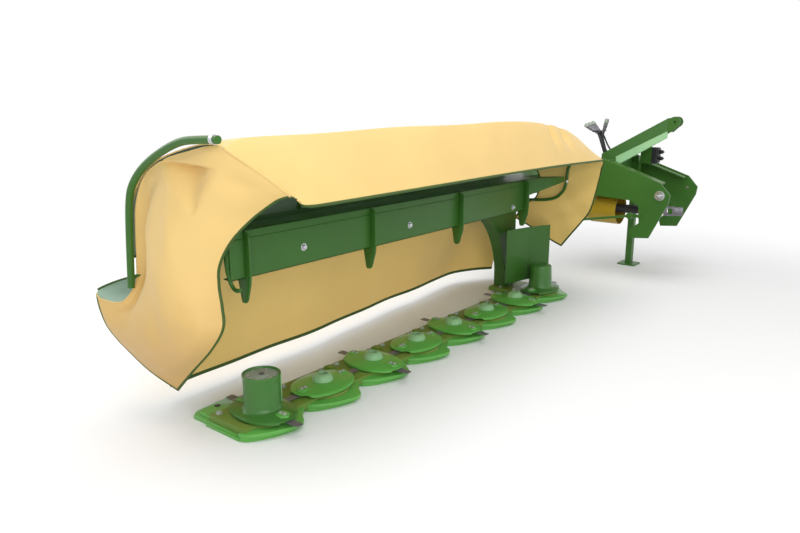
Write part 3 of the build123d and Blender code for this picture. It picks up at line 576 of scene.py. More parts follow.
def nurbs_line(curve: bpy.types.Curve, points: Sequence[Point], radius: float, resolution: int) -> None:
    """Gives a curve one open smooth line and a round, capped section.

    Args:
        curve: the curve.
        points: what pulls the line along.
        radius: the radius of its section.
        resolution: how finely each stretch between two points is cut.
    """
    curve.splines.clear()
    line = curve.splines.new("NURBS")
    line.points.add(len(points) - 1)
    for knot, point in zip(line.points, points):
        knot.co = (*point, 1.0)
    line.order_u = 3
    line.use_endpoint_u = True
    curve.dimensions = "3D"
    curve.resolution_u = resolution
    curve.bevel_depth = radius
    curve.bevel_resolution = 5
    curve.use_fill_caps = True


def new_mesh(name: str, points: Sequence[Vector], faces: Sequence[Sequence[int]]) -> Piece:
    """Makes a smooth-shaded mesh object.

    Args:
        name: the object's name.
        points: its vertices.
        faces: the vertices of each face, by number.

    Returns:
        The new object.
    """
    mesh = bpy.data.meshes.new(name)
    mesh.from_pydata([tuple(point) for point in points], [], faces)
    mesh.polygons.foreach_set("use_smooth", [True] * len(mesh.polygons))
    return new_object(name, mesh)


def apply_modifiers(piece: Piece) -> None:
    """Applies every modifier of a piece, in order.

    Args:
        piece: the piece.
    """
    pick([piece])
    for modifier in list(piece.modifiers):
        bpy.ops.object.modifier_apply(modifier=modifier.name)


def thicken(piece: Piece, thickness: float) -> None:
    """Gives a sheet its thickness, half on each side.

    Args:
        piece: the sheet.
        thickness: how thick it gets.
    """
    modifier = piece.modifiers.new("wall", "SOLIDIFY")
    modifier.thickness = thickness
    modifier.offset = 0.0
    modifier.material_offset = 1
    apply_modifiers(piece)


@dataclass
class ClothSheet:
    """A sheet of tarpaulin that hangs through rows of points, each row from its front edge back."""

    name: str
    body: str
    node: str
    flat: tuple[float, float]
    area: float
    rows: list[list[Point]]
    finish: Finish = Finish.CREAM
    lining: Finish = Finish.CREAM
    steps: tuple[int, int] = (90, 60)
    thickness: float = 0.003
    hem_width: float = 0.011
    held: str = "stretched"
    rests_on: tuple[str, ...] = ("hood_frame",)
    shape: Callable[[Vector, float, float], Vector] | None = None
    grid: list[list[Vector]] = field(default_factory=list)

    def surface(self, across: float, along: float) -> Vector:
        """The sheet's point at a place across the rows and along them, 0 to 1 each.

        Args:
            across: how far across the rows, 0 to 1.
            along: how far along them, 0 to 1.

        Returns:
            The point.
        """
        lines = [smooth_point([Vector(point) for point in row], along) for row in self.rows]
        place = smooth_point(lines, across)
        return self.shape(place, across, along) if self.shape else place

    def build(self) -> Piece:
        """Returns:
            The sheet.
        """
        many, long = self.steps
        self.grid = [[self.surface(i / many, j / long) for j in range(long + 1)] for i in range(many + 1)]
        points = [point for row in self.grid for point in row]
        stride = long + 1
        faces = []
        for i in range(many):
            for j in range(long):
                corner = i * stride + j
                faces.append((corner, corner + 1, corner + stride + 1, corner + stride))
        piece = new_mesh(self.name, points, faces)
        self.map_cloth(piece, stride)
        paint(piece, self.finish)
        piece.data.materials.append(self.lining.build())
        thicken(piece, self.thickness)
        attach(piece, self.body)
        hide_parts(self.node)
        return piece

    def map_cloth(self, piece: Piece, stride: int) -> None:
        """Unrolls the sheet into its cloth map, in metres.

        Args:
            piece: the sheet before it gets its thickness.
            stride: the number of points in a row.
        """
        many = len(self.grid)
        places = {}
        across = [0.0] * stride
        for i in range(many):
            run = 0.0
            for j in range(stride):
                if j > 0:
                    run += (self.grid[i][j] - self.grid[i][j - 1]).length
                if i > 0:
                    across[j] += (self.grid[i][j] - self.grid[i - 1][j]).length
                places[i * stride + j] = (run, across[j])
        layer = piece.data.uv_layers.new(name="cloth")
        for loop in piece.data.loops:
            layer.data[loop.index].uv = places[loop.vertex_index]

    def edge(self, side: str) -> tuple[list[Vector], list[Vector]]:
        """One edge of the built sheet.

        Args:
            side: front or back along the rows, first or last across them.

        Returns:
            The edge's points, and the next points inwards.
        """
        if side == "front":
            return [row[0] for row in self.grid], [row[1] for row in self.grid]
        if side == "back":
            return [row[-1] for row in self.grid], [row[-2] for row in self.grid]
        if side == "first":
            return list(self.grid[0]), list(self.grid[1])
        return list(self.grid[-1]), list(self.grid[-2])

    def hem(self, side: str, width: float | None = None, finish: Finish = Finish.EDGING) -> Piece:
        """Sews a band round one edge of the sheet.

        Args:
            side: the edge, as edge() names it.
            width: the band's width, or the usual one.
            finish: the band's finish.

        Returns:
            The band.
        """
        edge, inner = self.edge(side)
        broad = width or self.hem_width
        half = self.thickness / 2 + 0.0016
        rings = []
        for index, point in enumerate(edge):
            ahead = edge[min(index + 1, len(edge) - 1)] - edge[max(index - 1, 0)]
            inward = (inner[index] - point).normalized()
            out = ahead.cross(inward).normalized()
            outline = ((-0.003, 0.5), (0.001, 1.0), (broad, 1.0), (broad + 0.001, 0.0), (broad, -1.0),
                       (0.001, -1.0), (-0.003, -0.5))
            rings.append([point + inward * step + out * half * level for step, level in outline])
        band = tube_of_rings(f"{self.name}_{side}_hem", rings)
        paint(band, finish)
        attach(band, self.body)
        return band

    def hang(self, *hems: tuple) -> None:
        """Makes the sheet and sews its hems.

        Args:
            hems: side, and where they aren't the usual ones width and finish, of each hem.
        """
        piece = self.build()
        bands = [self.hem(*hem) for hem in hems]


def tube_of_rings(name: str, rings: Sequence[Sequence[Vector]]) -> Piece:
    """Skins a row of closed rings and closes both ends.

    Args:
        name: the object's name.
        rings: the rings, all with the same number of points.

    Returns:
        The closed object.
    """
    count = len(rings[0])
    points = [point for ring in rings for point in ring]
    faces = [list(range(count))]
    for index in range(len(rings) - 1):
        for corner in range(count):
            following = (corner + 1) % count
            faces.append([index * count + corner, (index + 1) * count + corner,
                          (index + 1) * count + following, index * count + following])
    faces.append([(len(rings) - 1) * count + corner for corner in reversed(range(count))])
    piece = new_mesh(name, points, faces)
    shape = bmesh.new()
    shape.from_mesh(piece.data)
    bmesh.ops.recalc_face_normals(shape, faces=shape.faces)
    shape.to_mesh(piece.data)
    shape.free()
    return piece


def bent_tube(name: str, points: Sequence[Point], radius: float, resolution: int = 10) -> Piece:
    """Makes a round bar or tube that follows a smooth line, closed at both ends.

    Args:
        name: the object's name.
        points: what pulls the line along, from its first end to its last.
        radius: the tube's outer radius.
        resolution: how finely each stretch between two points is cut.

    Returns:
        The tube, as a mesh.
    """
    deselect()
    bpy.ops.curve.primitive_nurbs_path_add()
    piece = bpy.context.object
    piece.name = name
    nurbs_line(piece.data, points, radius, resolution)
    bpy.ops.object.convert(target="MESH")
    piece = bpy.context.object
    piece.name = name
    piece.data.name = name
    bpy.ops.object.shade_smooth_by_angle(angle=math.radians(40))
    return piece


def run_edit(piece: Piece, *steps: Callable[[], object]) -> None:
    """Runs some steps on a whole mesh in edit mode.

    Args:
        piece: the piece.
        steps: what to call, in order, with the whole mesh selected.
    """
    pick([piece])
    bpy.ops.object.mode_set(mode="EDIT")
    bpy.ops.mesh.select_all(action="SELECT")
    for step in steps:
        step()
    bpy.ops.object.mode_set(mode="OBJECT")


def round_edges(piece: Piece, width: float, segments: int = 2) -> None:
    """Rounds the sharp edges of a piece.

    Args:
        piece: the piece.
        width: how wide the rounding is.
        segments: how many steps it has.
    """
    modifier = piece.modifiers.new("round", "BEVEL")
    modifier.width = width
    modifier.segments = segments
    modifier.limit_method = "ANGLE"
    modifier.angle_limit = math.radians(30)
    apply_modifiers(piece)


def cut_plate(outline: Sequence[Point], push: Point, rounding: float = 0.002) -> Piece:
    """Cuts a plate to an outline and thickens it.

    Args:
        outline: the corners of one face.
        push: from that face to the other.
        rounding: the width of its edges.

    Returns:
        The plate.
    """
    deselect()
    bpy.ops.mesh.primitive_circle_add(vertices=len(outline), radius=1.0, fill_type="NGON")
    piece = bpy.context.object
    for vertex, corner in zip(piece.data.vertices, outline):
        vertex.co = corner
    run_edit(piece, lambda: bpy.ops.mesh.extrude_region_move(TRANSFORM_OT_translate={"value": tuple(push)}))
    round_edges(piece, rounding)
    return piece


def block(low: Point, high: Point, rounding: float = 0.003) -> Piece:
    """A rectangular piece with rounded edges, between two corners."""
    corners = ((low[0], low[1]), (high[0], low[1]), (high[0], high[1]), (low[0], high[1]))
    return cut_plate([(x, y, low[2]) for x, y in corners], (0.0, 0.0, high[2] - low[2]), rounding)


def turned(
    sections: Sequence[tuple[float, float]], segments: int = 48, outline: Sequence[Point] | None = None,
) -> Piece:
    """Builds a round piece up along Z.

    Args:
        sections: radius and height of each section, from the bottom.
        segments: how many sides it has.
        outline: the first section's corners at radius 1, where it isn't a circle.

    Returns:
        The piece, standing on the origin.
    """
    deselect()
    bpy.ops.mesh.primitive_circle_add(vertices=segments, radius=1.0, fill_type="NGON")
    piece = bpy.context.object
    first_radius, first_height = sections[0]
    for index, vertex in enumerate(piece.data.vertices):
        corner = Vector(outline[index]) if outline else vertex.co
        vertex.co = (corner.x * first_radius, corner.y * first_radius, first_height)
    run_edit(piece, *[
        step
        for (radius, height), (wider, higher) in zip(sections, sections[1:])
        for step in (
            lambda rise=higher - height: bpy.ops.mesh.extrude_region_move(
                TRANSFORM_OT_translate={"value": (0.0, 0.0, rise)}),
            lambda grow=wider / radius, level=higher: bpy.ops.transform.resize(
                value=(grow, grow, 1.0), center_override=(0.0, 0.0, level)),
        )
    ])
    return piece


def aimed(piece: Piece, place: Point, facing: Point = (0.0, 0.0, 1.0), turn: float = 0.0) -> Piece:
    """Moves a piece's mesh so that its foot is at a place and it faces a way, turned round that way first.

    Args:
        piece: the piece, standing on the origin.
        place: where its foot goes.
        facing: the way its upper end faces.
        turn: its turn round its own axis first, in degrees.

    Returns:
        The same piece.
    """
    swing = Vector(facing).to_track_quat("Z", "Y").to_matrix().to_4x4()
    piece.data.transform(Matrix.Translation(place) @ swing @ Matrix.Rotation(math.radians(turn), 4, "Z"))
    return piece


def twin(piece: Piece) -> Piece:
    """A copy of a piece with a mesh of its own.

    Args:
        piece: the piece to copy.

    Returns:
        The copy.
    """
    copy = piece.copy()
    copy.data = piece.data.copy()
    bpy.context.scene.collection.objects.link(copy)
    return copy


def joined(parts: Sequence[Piece]) -> Piece:
    """Joins some pieces into one.

    Args:
        parts: the pieces.

    Returns:
        The first of them, which now holds all.
    """
    pick(parts)
    if len(parts) > 1:
        bpy.ops.object.join()
    return bpy.context.object


def scatter(template: Piece, places: Sequence[Point], facing: Point = (0.0, 0.0, 1.0)) -> Piece:
    """Copies a template to some places and joins the copies.

    Args:
        template: the piece to repeat, removed afterwards.
        places: where each copy's foot goes.
        facing: the way they all face.

    Returns:
        The joined copies.
    """
    copies = [aimed(twin(template), place, facing) for place in places]
    bpy.data.objects.remove(template)
    return joined(copies)


def settle(piece: Piece, name: str, finish: Finish, body: str, stands_for: Sequence[str] = ()) -> Piece:
    """Names, shades and paints a modelled piece and sets it on its body.

    Args:
        piece: the piece.
        name: its name.
        finish: what it is made of.
        body: the body it moves with.
        stands_for: the CAD nodes that it replaces.

    Returns:
        The same piece.
    """
    run_edit(piece, lambda: bpy.ops.mesh.normals_make_consistent(inside=False))
    bpy.ops.object.shade_smooth_by_angle(angle=math.radians(35))
    piece.name = name
    piece.data.name = name
    paint(piece, finish)
    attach(piece, body)
    if stands_for:
        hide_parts(*stands_for)
    return piece


def bolt_head(across: float, height: float) -> Piece:
    """A hexagon head on its washer, facing up.

    Args:
        across: its width across flats.
        height: its height.

    Returns:
        The head.
    """
    corner = across / math.sqrt(3.0)
    head = turned(((corner, 0.0015), (corner, height * 0.85), (corner * 0.88, height)), segments=6)
    washer = turned(((across * 0.8, 0.0), (across * 0.8, 0.0016), (across * 0.74, 0.002)), segments=20)
    return joined((head, washer))


def soften(place: Vector, edge: Sequence[Vector], inward: Vector, reach: float, depth: float) -> Vector:
    """Rounds a sheet over towards an edge that it shares with the next sheet.

    Args:
        place: the point to move.
        edge: the shared edge.
        inward: the way the edge is drawn in.
        reach: how far from the edge the rounding starts.
        depth: how far the edge itself is drawn in.

    Returns:
        The moved point.
    """
    near = min((place - point).length for point in edge)
    if near >= reach:
        return place
    return place + inward * depth * (1.0 - near / reach) ** 2


def press(place: Vector, centre: Point, reach: Point, push: Point) -> Vector:
    """Pushes a point as a hand presses cloth, most at the centre and little past its reach."""
    far = sum(((place[axis] - centre[axis]) / reach[axis]) ** 2 for axis in range(3))
    return place + Vector(push) * math.exp(-far)


@dataclass
class HoodFrame:
    """The hood's smooth bows, its front tube and its hinge tube."""

    outer_y: float = -2.612
    inner_y: float = 1.034
    middle_ys: tuple[float, ...] = (-1.48, -0.33)
    hinge: tuple[float, float] = (-0.38, 0.9)
    bow_radius: float = 0.018
    thin_radius: float = 0.013
    hinge_radius: float = 0.020
    outer_bow: tuple[tuple[float, float], ...] = (
        (0.331, 1.455), (0.200, 1.451), (0.095, 1.444), (0.010, 1.424), (-0.106, 1.382), (-0.215, 1.330),
        (-0.300, 1.273), (-0.362, 1.212), (-0.388, 1.150), (-0.406, 1.060), (-0.426, 0.890), (-0.446, 0.706),
    )
    middle_bow: tuple[tuple[float, float], ...] = (
        (0.285, 1.432), (0.100, 1.424), (-0.060, 1.375), (-0.200, 1.312), (-0.330, 1.215), (-0.400, 1.120),
        (-0.428, 1.020), (-0.440, 0.930),
    )
    inner_bow: tuple[tuple[float, float], ...] = (
        (-0.380, 0.900), (-0.376, 0.800), (-0.300, 0.768), (-0.150, 0.772), (0.030, 0.792), (0.110, 0.850),
        (0.146, 0.930), (0.146, 1.060), (0.200, 1.150), (0.300, 1.180),
    )
    front_tube: tuple[Point, ...] = (
        (0.285, -2.500, 1.410), (0.285, -1.900, 1.430), (0.285, -0.600, 1.432), (0.285, 0.050, 1.428),
        (0.285, 0.340, 1.392), (0.285, 0.700, 1.300), (0.288, 1.046, 1.178),
    )

    def build(self) -> None:
        """Bends the tubes and welds on the hinge plates."""
        tubes = [
            bent_tube("outer_bow", [(x, self.outer_y, z) for x, z in self.outer_bow], self.bow_radius, 12),
            bent_tube("inner_bow", [(x, self.inner_y, z) for x, z in self.inner_bow], self.thin_radius, 12),
            bent_tube("front_tube", self.front_tube, self.thin_radius),
            bent_tube("hinge_tube", [(self.hinge[0], y, self.hinge[1]) for y in (-2.525, -0.8, self.inner_y)],
                      self.hinge_radius, 4),
            bent_tube("bow_peg", ((-0.441, self.outer_y, 0.756), (-0.438, -2.560, 0.760),
                                  (-0.400, -2.515, 0.820), (-0.382, -2.505, 0.895)), 0.009, 6),
        ]
        for y in self.middle_ys:
            line = [(x, y, z) for x, z in self.middle_bow]
            tubes.append(bent_tube("middle_bow", line, self.thin_radius, 12))
        for y in self.middle_ys:
            tubes.append(self.hinge_plate(y))
        settle(joined(tubes), "bow_frame", Finish.GREEN, "hood", ("hood_frame",))
        self.build_clamps()

    def hinge_plate(self, y: float) -> Piece:
        """The plate that joins a bow to the hinge tube.

        Args:
            y: the middle of its thickness.

        Returns:
            The plate.
        """
        x, z = self.hinge
        outline = ((x, y - 0.005, z - 0.020), (x, y - 0.005, z + 0.022), (-0.441, y - 0.005, 0.980),
                   (-0.445, y - 0.005, 0.932))
        return cut_plate(outline, (0.0, 0.010, 0.0))

    def build_clamps(self) -> None:
        """Puts the small clamps on the bows."""
        clips = []
        for x, z, y, lean in (
            (0.300, 1.454, self.outer_y, 2.0), (0.148, 0.957, self.inner_y, 80.0),
            (-0.151, 0.772, self.inner_y, 4.0),
        ):
            radius = self.bow_radius if y == self.outer_y else self.thin_radius
            band = turned(((radius + 0.0005, -0.011), (radius + 0.003, -0.010), (radius + 0.003, 0.010),
                           (radius + 0.0005, 0.011)), segments=24)
            slope = math.radians(lean)
            clips.append(aimed(band, (x, y, z), (math.cos(slope), 0.0, math.sin(slope))))
        settle(joined(clips), "bow_clamps", Finish.PLATED, "hood")


@dataclass
class CutterBar:
    """The bed under the rotors and its wear shoes."""

    rotor_x: float = 0.090
    rotor_ys: tuple[float, ...] = tuple(-2.26 + 0.43 * index for index in range(8))
    shoe_height: float = 0.016
    bed_top: float = 0.060
    lobe: tuple[tuple[float, float], ...] = (
        # ahead of and beside the rotor's axis
        (0.060, -0.210), (0.080, -0.209), (0.106, -0.196), (0.134, -0.168), (0.160, -0.130), (0.184, -0.084),
        (0.203, -0.036), (0.216, 0.006), (0.223, 0.042), (0.218, 0.070), (0.200, 0.096), (0.172, 0.116),
        (0.142, 0.140), (0.116, 0.172), (0.092, 0.196), (0.060, 0.206),
    )

    def build(self) -> None:
        """Builds the bed, the shoes and their bolts."""
        self.build_bed()
        self.build_shoes()
        self.build_bolts()

    def build_bed(self) -> None:
        """The flat gearbox bed with its bosses and the tongue under the post."""
        front, back = self.rotor_x + 0.090, self.rotor_x - 0.200
        low, high = self.rotor_ys[0] - 0.190, self.rotor_ys[-1] + 0.190
        parts = [
            block((back, low, self.shoe_height), (front, high, self.bed_top), 0.009),
            block((self.rotor_x - 0.420, high - 0.330, self.shoe_height), (back + 0.04, high, 0.051), 0.004),
        ]
        for y in self.rotor_ys:
            lobe = turned(((0.150, self.shoe_height), (0.150, 0.050), (0.141, self.bed_top)), segments=64)
            parts.append(aimed(lobe, (self.rotor_x, y, 0.0)))
            boss = turned(((0.062, self.bed_top - 0.004), (0.060, 0.066), (0.048, 0.070), (0.046, 0.0755)))
            parts.append(aimed(boss, (self.rotor_x, y, 0.0)))
        for y, following in zip(self.rotor_ys, self.rotor_ys[1:]):
            middle = (y + following) / 2
            parts.append(block((back + 0.012, middle - 0.022, self.bed_top - 0.004),
                               (back + 0.072, middle + 0.022, self.bed_top + 0.010), 0.005))
        settle(joined(parts), "bar_bed", Finish.BAR_GREEN, "mower", ("cutter_bar",))

    def build_shoes(self) -> None:
        """A flared shoe with a rounded nose under each rotor, and the long end shoe."""
        parts = []
        for index, y in enumerate(self.rotor_ys):
            root = self.rotor_x + 0.060
            for low, rise, tuck in ((0.024, 0.021, 1.0), (0.0, 0.025, 0.80)):
                outline = [(root + (ahead - 0.060) * tuck, y + aside * (0.9 + 0.1 * tuck), low)
                           for ahead, aside in self.lobe]
                parts.append(cut_plate(outline, (0.0, 0.0, rise), 0.005))
            parts.append(block((self.rotor_x - 0.200, y - 0.210, 0.0), (root + 0.004, y + 0.206, 0.0175)))
            if index == 0:
                parts.append(self.end_shoe(y))
        settle(joined(parts), "wear_shoes", Finish.DISC_GREEN, "mower", ("skids",))

    def end_shoe(self, y: float) -> Piece:
        """The outermost shoe's long tail with its stepped edge.

        Args:
            y: the outermost rotor's axis.

        Returns:
            The shoe.
        """
        x = self.rotor_x
        outline = ((x + 0.080, y, 0.0), (x + 0.050, y - 0.190, 0.0), (x - 0.040, y - 0.198, 0.0),
                   (x - 0.320, y - 0.198, 0.0), (x - 0.352, y - 0.158, 0.0), (x - 0.360, y + 0.050, 0.0),
                   (x - 0.300, y + 0.100, 0.0), (x - 0.200, y + 0.120, 0.0))
        plate = cut_plate(outline, (0.0, 0.0, 0.024), 0.006)
        upper = [(x + (corner[0] - x) * 0.93, y + (corner[1] - y) * 0.90, 0.020) for corner in outline]
        step = cut_plate(upper, (0.0, 0.0, 0.020), 0.007)
        return joined((plate, step))

    def build_bolts(self) -> None:
        """The bolts along the bed, and black discs over the end shoe's holes as painted shade."""
        row_x, row_z = self.rotor_x - 0.165, self.bed_top - 0.001
        spots = [(row_x, y + aside, row_z) for y in self.rotor_ys for aside in (-0.150, 0.150)]
        spots += [(self.rotor_x - 0.320, y, 0.050) for y in (0.640, 0.780, 0.900)]
        settle(scatter(bolt_head(0.024, 0.014), spots), "bar_bolts", Finish.PALE_GREEN, "mower")
        x, y = self.rotor_x, self.rotor_ys[0]
        # Painted shade: thin black discs lie on the end shoe's top where its holes are, standing in for the
        # dark inside them.
        holes = []
        for ahead, aside, radius in ((-0.285, -0.072, 0.017), (-0.262, 0.028, 0.009),
                                     (-0.225, -0.150, 0.007)):
            ring = turned(((radius, 0.0), (radius, 0.0012), (radius * 0.9, 0.0016)), segments=24)
            holes.append(aimed(ring, (x + ahead, y + aside, 0.0396)))
        settle(joined(holes), "shoe_hole_shade", Finish.RUBBER, "mower")


@dataclass
class Rotor:
    """One oval rotor: a pressed disc with bolted pads, and a hub or a drum on top."""

    index: int
    rotor_x: float = 0.090
    outer_y: float = -2.260
    pitch: float = 0.430
    bottom: float = 0.077
    half_length: float = 0.205
    half_width: float = 0.145
    stud_reach: float = 0.178
    drum_foot: tuple[tuple[float, float], ...] = (
        # radius and height of each section, as in all turned pieces
        (0.124, 0.006), (0.121, 0.011), (0.108, 0.017), (0.0985, 0.026), (0.095, 0.036),
    )
    open_rim: tuple[tuple[float, float], ...] = (
        (0.095, 0.182), (0.0975, 0.187), (0.0985, 0.1925), (0.0975, 0.198), (0.095, 0.200), (0.091, 0.199),
        (0.089, 0.195), (0.088, 0.187), (0.040, 0.187),
    )
    closed_cap: tuple[tuple[float, float], ...] = (
        (0.0905, 0.120), (0.0862, 0.190), (0.085, 0.196), (0.079, 0.203), (0.070, 0.207), (0.052, 0.207),
        (0.050, 0.204), (0.030, 0.204),
    )

    @property
    def has_drum(self) -> bool:
        """The two end rotors carry a drum."""
        return self.index in (0, 7)

    @property
    def node(self) -> str:
        """The CAD node that it stands for."""
        kind = "drum" if self.has_drum else "disc"
        return f"{kind}_{self.index + 1}"

    @property
    def turn(self) -> float:
        """Neighbours stand a quarter turn apart."""
        return 0.0 if self.index % 2 == 0 else 90.0

    @property
    def place(self) -> Point:
        """Where its underside meets its axis."""
        return (self.rotor_x, self.outer_y + self.pitch * self.index, self.bottom)

    def build(self) -> None:
        """Builds the rotor on its body."""
        parts = [self.pressed_disc(), *self.skirts(), *self.studs()]
        if self.has_drum:
            rest = self.open_rim if self.index == 0 else self.closed_cap
            parts.append(turned((*self.drum_foot, *rest), segments=72))
        self.put(joined(parts), self.node.replace("disc", "pressed_disc").replace("drum", "rotor_drum"),
                 Finish.DRUM_GREEN if self.has_drum else Finish.DISC_GREEN, (self.node,))
        self.put(joined(self.pads()), f"blade_pads_{self.index + 1}", Finish.DISC_GREEN)
        self.put(self.fastenings(), f"rotor_bolts_{self.index + 1}", Finish.PALE_GREEN)
        if self.index == 0:
            self.dress_open_drum()
        elif not self.has_drum:
            self.put(self.hub(), f"rotor_hub_{self.index + 1}", Finish.HUB_GREEN)
            # Painted shade: a black plug fills the hub's sunk middle, standing in for the shade in the
            # recess.
            cap = turned(((0.0215, 0.0300), (0.0215, 0.0440), (0.018, 0.0445)), segments=32)
            self.put(cap, f"hub_recess_{self.index + 1}", Finish.RUBBER)

    def put(self, piece: Piece, name: str, finish: Finish, stands_for: Sequence[str] = ()) -> None:
        """Turns a piece to the rotor's rest angle, moves it to its axis and settles it."""
        aimed(piece, self.place, (0.0, 0.0, 1.0), self.turn)
        settle(piece, name, finish, f"rotor_{self.index + 1}", stands_for)

    def pressed_disc(self) -> Piece:
        """The domed oval, notched beside each blade.

        Returns:
            The disc.
        """
        outline = []
        for step in range(96):
            angle = 2 * math.pi * step / 96
            from_end = (math.degrees(angle) + 90) % 180 - 90
            notch = 0.965 if 16 < from_end < 30 else 1.0
            outline.append((self.half_length * notch * math.cos(angle),
                            self.half_width * notch * math.sin(angle), 0.0))
        sections = ((1.0, 0.0), (1.0, 0.0045), (0.965, 0.0075), (0.86, 0.0115), (0.72, 0.0165),
                    (0.58, 0.0205), (0.45, 0.0228), (0.30, 0.0236))
        return turned(sections, 96, outline)

    def skirts(self) -> list[Piece]:
        """The turned-down rim along each long side, cut away at the blades.

        Returns:
            The two rims.
        """
        parts = []
        for start in (34, 214):
            outer = []
            inner = []
            for step in range(25):
                angle = math.radians(start + step * 124 / 24)
                for line, inset in ((outer, 0.0005), (inner, 0.0060)):
                    line.append(((self.half_length - inset) * math.cos(angle),
                                 (self.half_width - inset) * math.sin(angle), -0.0105))
            parts.append(cut_plate(outer + inner[::-1], (0.0, 0.0, 0.0130), 0.001))
        return parts

    def studs(self) -> list[Piece]:
        """The two blade studs, the collar under the disc and its journal.

        Returns:
            The collar and the studs.
        """
        parts = [turned(((0.0195, -0.043), (0.0195, -0.0172), (0.046, -0.0167), (0.046, 0.001)))]
        for side in (-1, 1):
            stud = turned(((0.014, -0.012), (0.015, -0.011), (0.015, -0.008), (0.009, -0.008),
                           (0.009, -0.004), (0.015, -0.004), (0.015, 0.001)), segments=24)
            parts.append(aimed(stud, (side * self.stud_reach, 0.0, 0.0)))
        return parts

    def hub(self) -> Piece:
        """The bare arched hub with its sunk middle."""
        return turned(((0.060, 0.018), (0.0595, 0.026), (0.0565, 0.037), (0.050, 0.048), (0.041, 0.056),
                       (0.031, 0.0605), (0.0255, 0.0605), (0.0225, 0.058), (0.0220, 0.036), (0.010, 0.0355)))

    def pads(self) -> list[Piece]:
        """The hexagon pads over the blade studs.

        Returns:
            The two pads.
        """
        parts = []
        for side in (-1, 1):
            outline = []
            for corner in range(6):
                angle = math.radians(60 * corner)
                outline.append((side * 0.150 + 0.042 * math.cos(angle), 0.036 * math.sin(angle), 0.004))
            parts.append(cut_plate(outline, (0.0, 0.0, 0.0165), 0.003))
        return parts

    def fastenings(self) -> Piece:
        """The bolts on the pads and round the hub.

        Returns:
            The bolts, as one piece.
        """
        spots = [(side * reach, 0.0, 0.0200) for side in (-1, 1) for reach in (0.164, 0.136)]
        if not self.has_drum:
            spots.append((0.0, 0.0, 0.0440))
        return scatter(bolt_head(0.016, 0.008), spots)

    def dress_open_drum(self) -> None:
        """The sunk lid with its screws, the nut in its middle and the bead down the drum."""
        lid = turned(((0.0875, 0.1865), (0.0875, 0.1885), (0.040, 0.1890), (0.036, 0.1925), (0.020, 0.1930)))
        self.put(lid, "drum_lid", Finish.PALE_GREEN)
        angles = [math.radians(60 * step) for step in range(6)]
        spots = [(0.068 * math.cos(angle), 0.068 * math.sin(angle), 0.1885) for angle in angles]
        self.put(scatter(bolt_head(0.012, 0.006), spots), "drum_lid_screws", Finish.PLATED)
        nut = turned(((0.0165, 0.1925), (0.0165, 0.1975), (0.014, 0.199)), segments=6)
        self.put(nut, "drum_nut", Finish.BLADE)
        bead = turned(((0.0035, 0.030), (0.0045, 0.034), (0.0045, 0.182), (0.0035, 0.186)), segments=12)
        self.put(aimed(bead, (-0.052, -0.0805, 0.0)), "drum_bead", Finish.HUB_GREEN)


@dataclass
class Fastenings:
    """Bolts on the guard sheet and the post, and the hook that props the folded cloth."""

    sheet_x: float = 0.010
    post_x: float = -0.2195

    def build(self) -> None:
        """Bolts the sheet and the post, and hangs the hook under the sheet."""
        forward = (1.0, 0.0, 0.0)
        spots = [(self.sheet_x, y, z) for y, z in ((-1.864, 0.848), (-0.941, 0.840), (0.378, 0.800))]
        settle(scatter(bolt_head(0.026, 0.013), spots, forward), "sheet_bolts", Finish.PLATED, "mower")
        spots = [(self.post_x, y, 0.800) for y in (0.440, 0.560, 0.700, 0.800)]
        spots += [(self.post_x, 0.780, z) for z in (0.230, 0.330)]
        settle(scatter(bolt_head(0.024, 0.014), spots, forward), "post_bolts", Finish.PALE_GREEN, "mower")
        self.build_hook()

    def build_hook(self) -> None:
        """The hooked tube under the outer end of the guard sheet, which props the folded cloth."""
        line = ((-0.010, -2.330, 0.930), (-0.012, -2.360, 0.880), (-0.012, -2.352, 0.800),
                (0.004, -2.345, 0.735), (0.040, -2.345, 0.708), (0.074, -2.345, 0.722))
        hook = bent_tube("cloth_hook", line, 0.010)
        plate = cut_plate(((-0.006, -2.322, 0.905), (-0.006, -2.352, 0.905), (-0.006, -2.364, 0.840),
                           (-0.006, -2.340, 0.800), (-0.006, -2.318, 0.800)), (0.006, 0.0, 0.0), 0.0015)
        settle(joined((hook, plate)), "cloth_hook", Finish.GREEN, "mower")


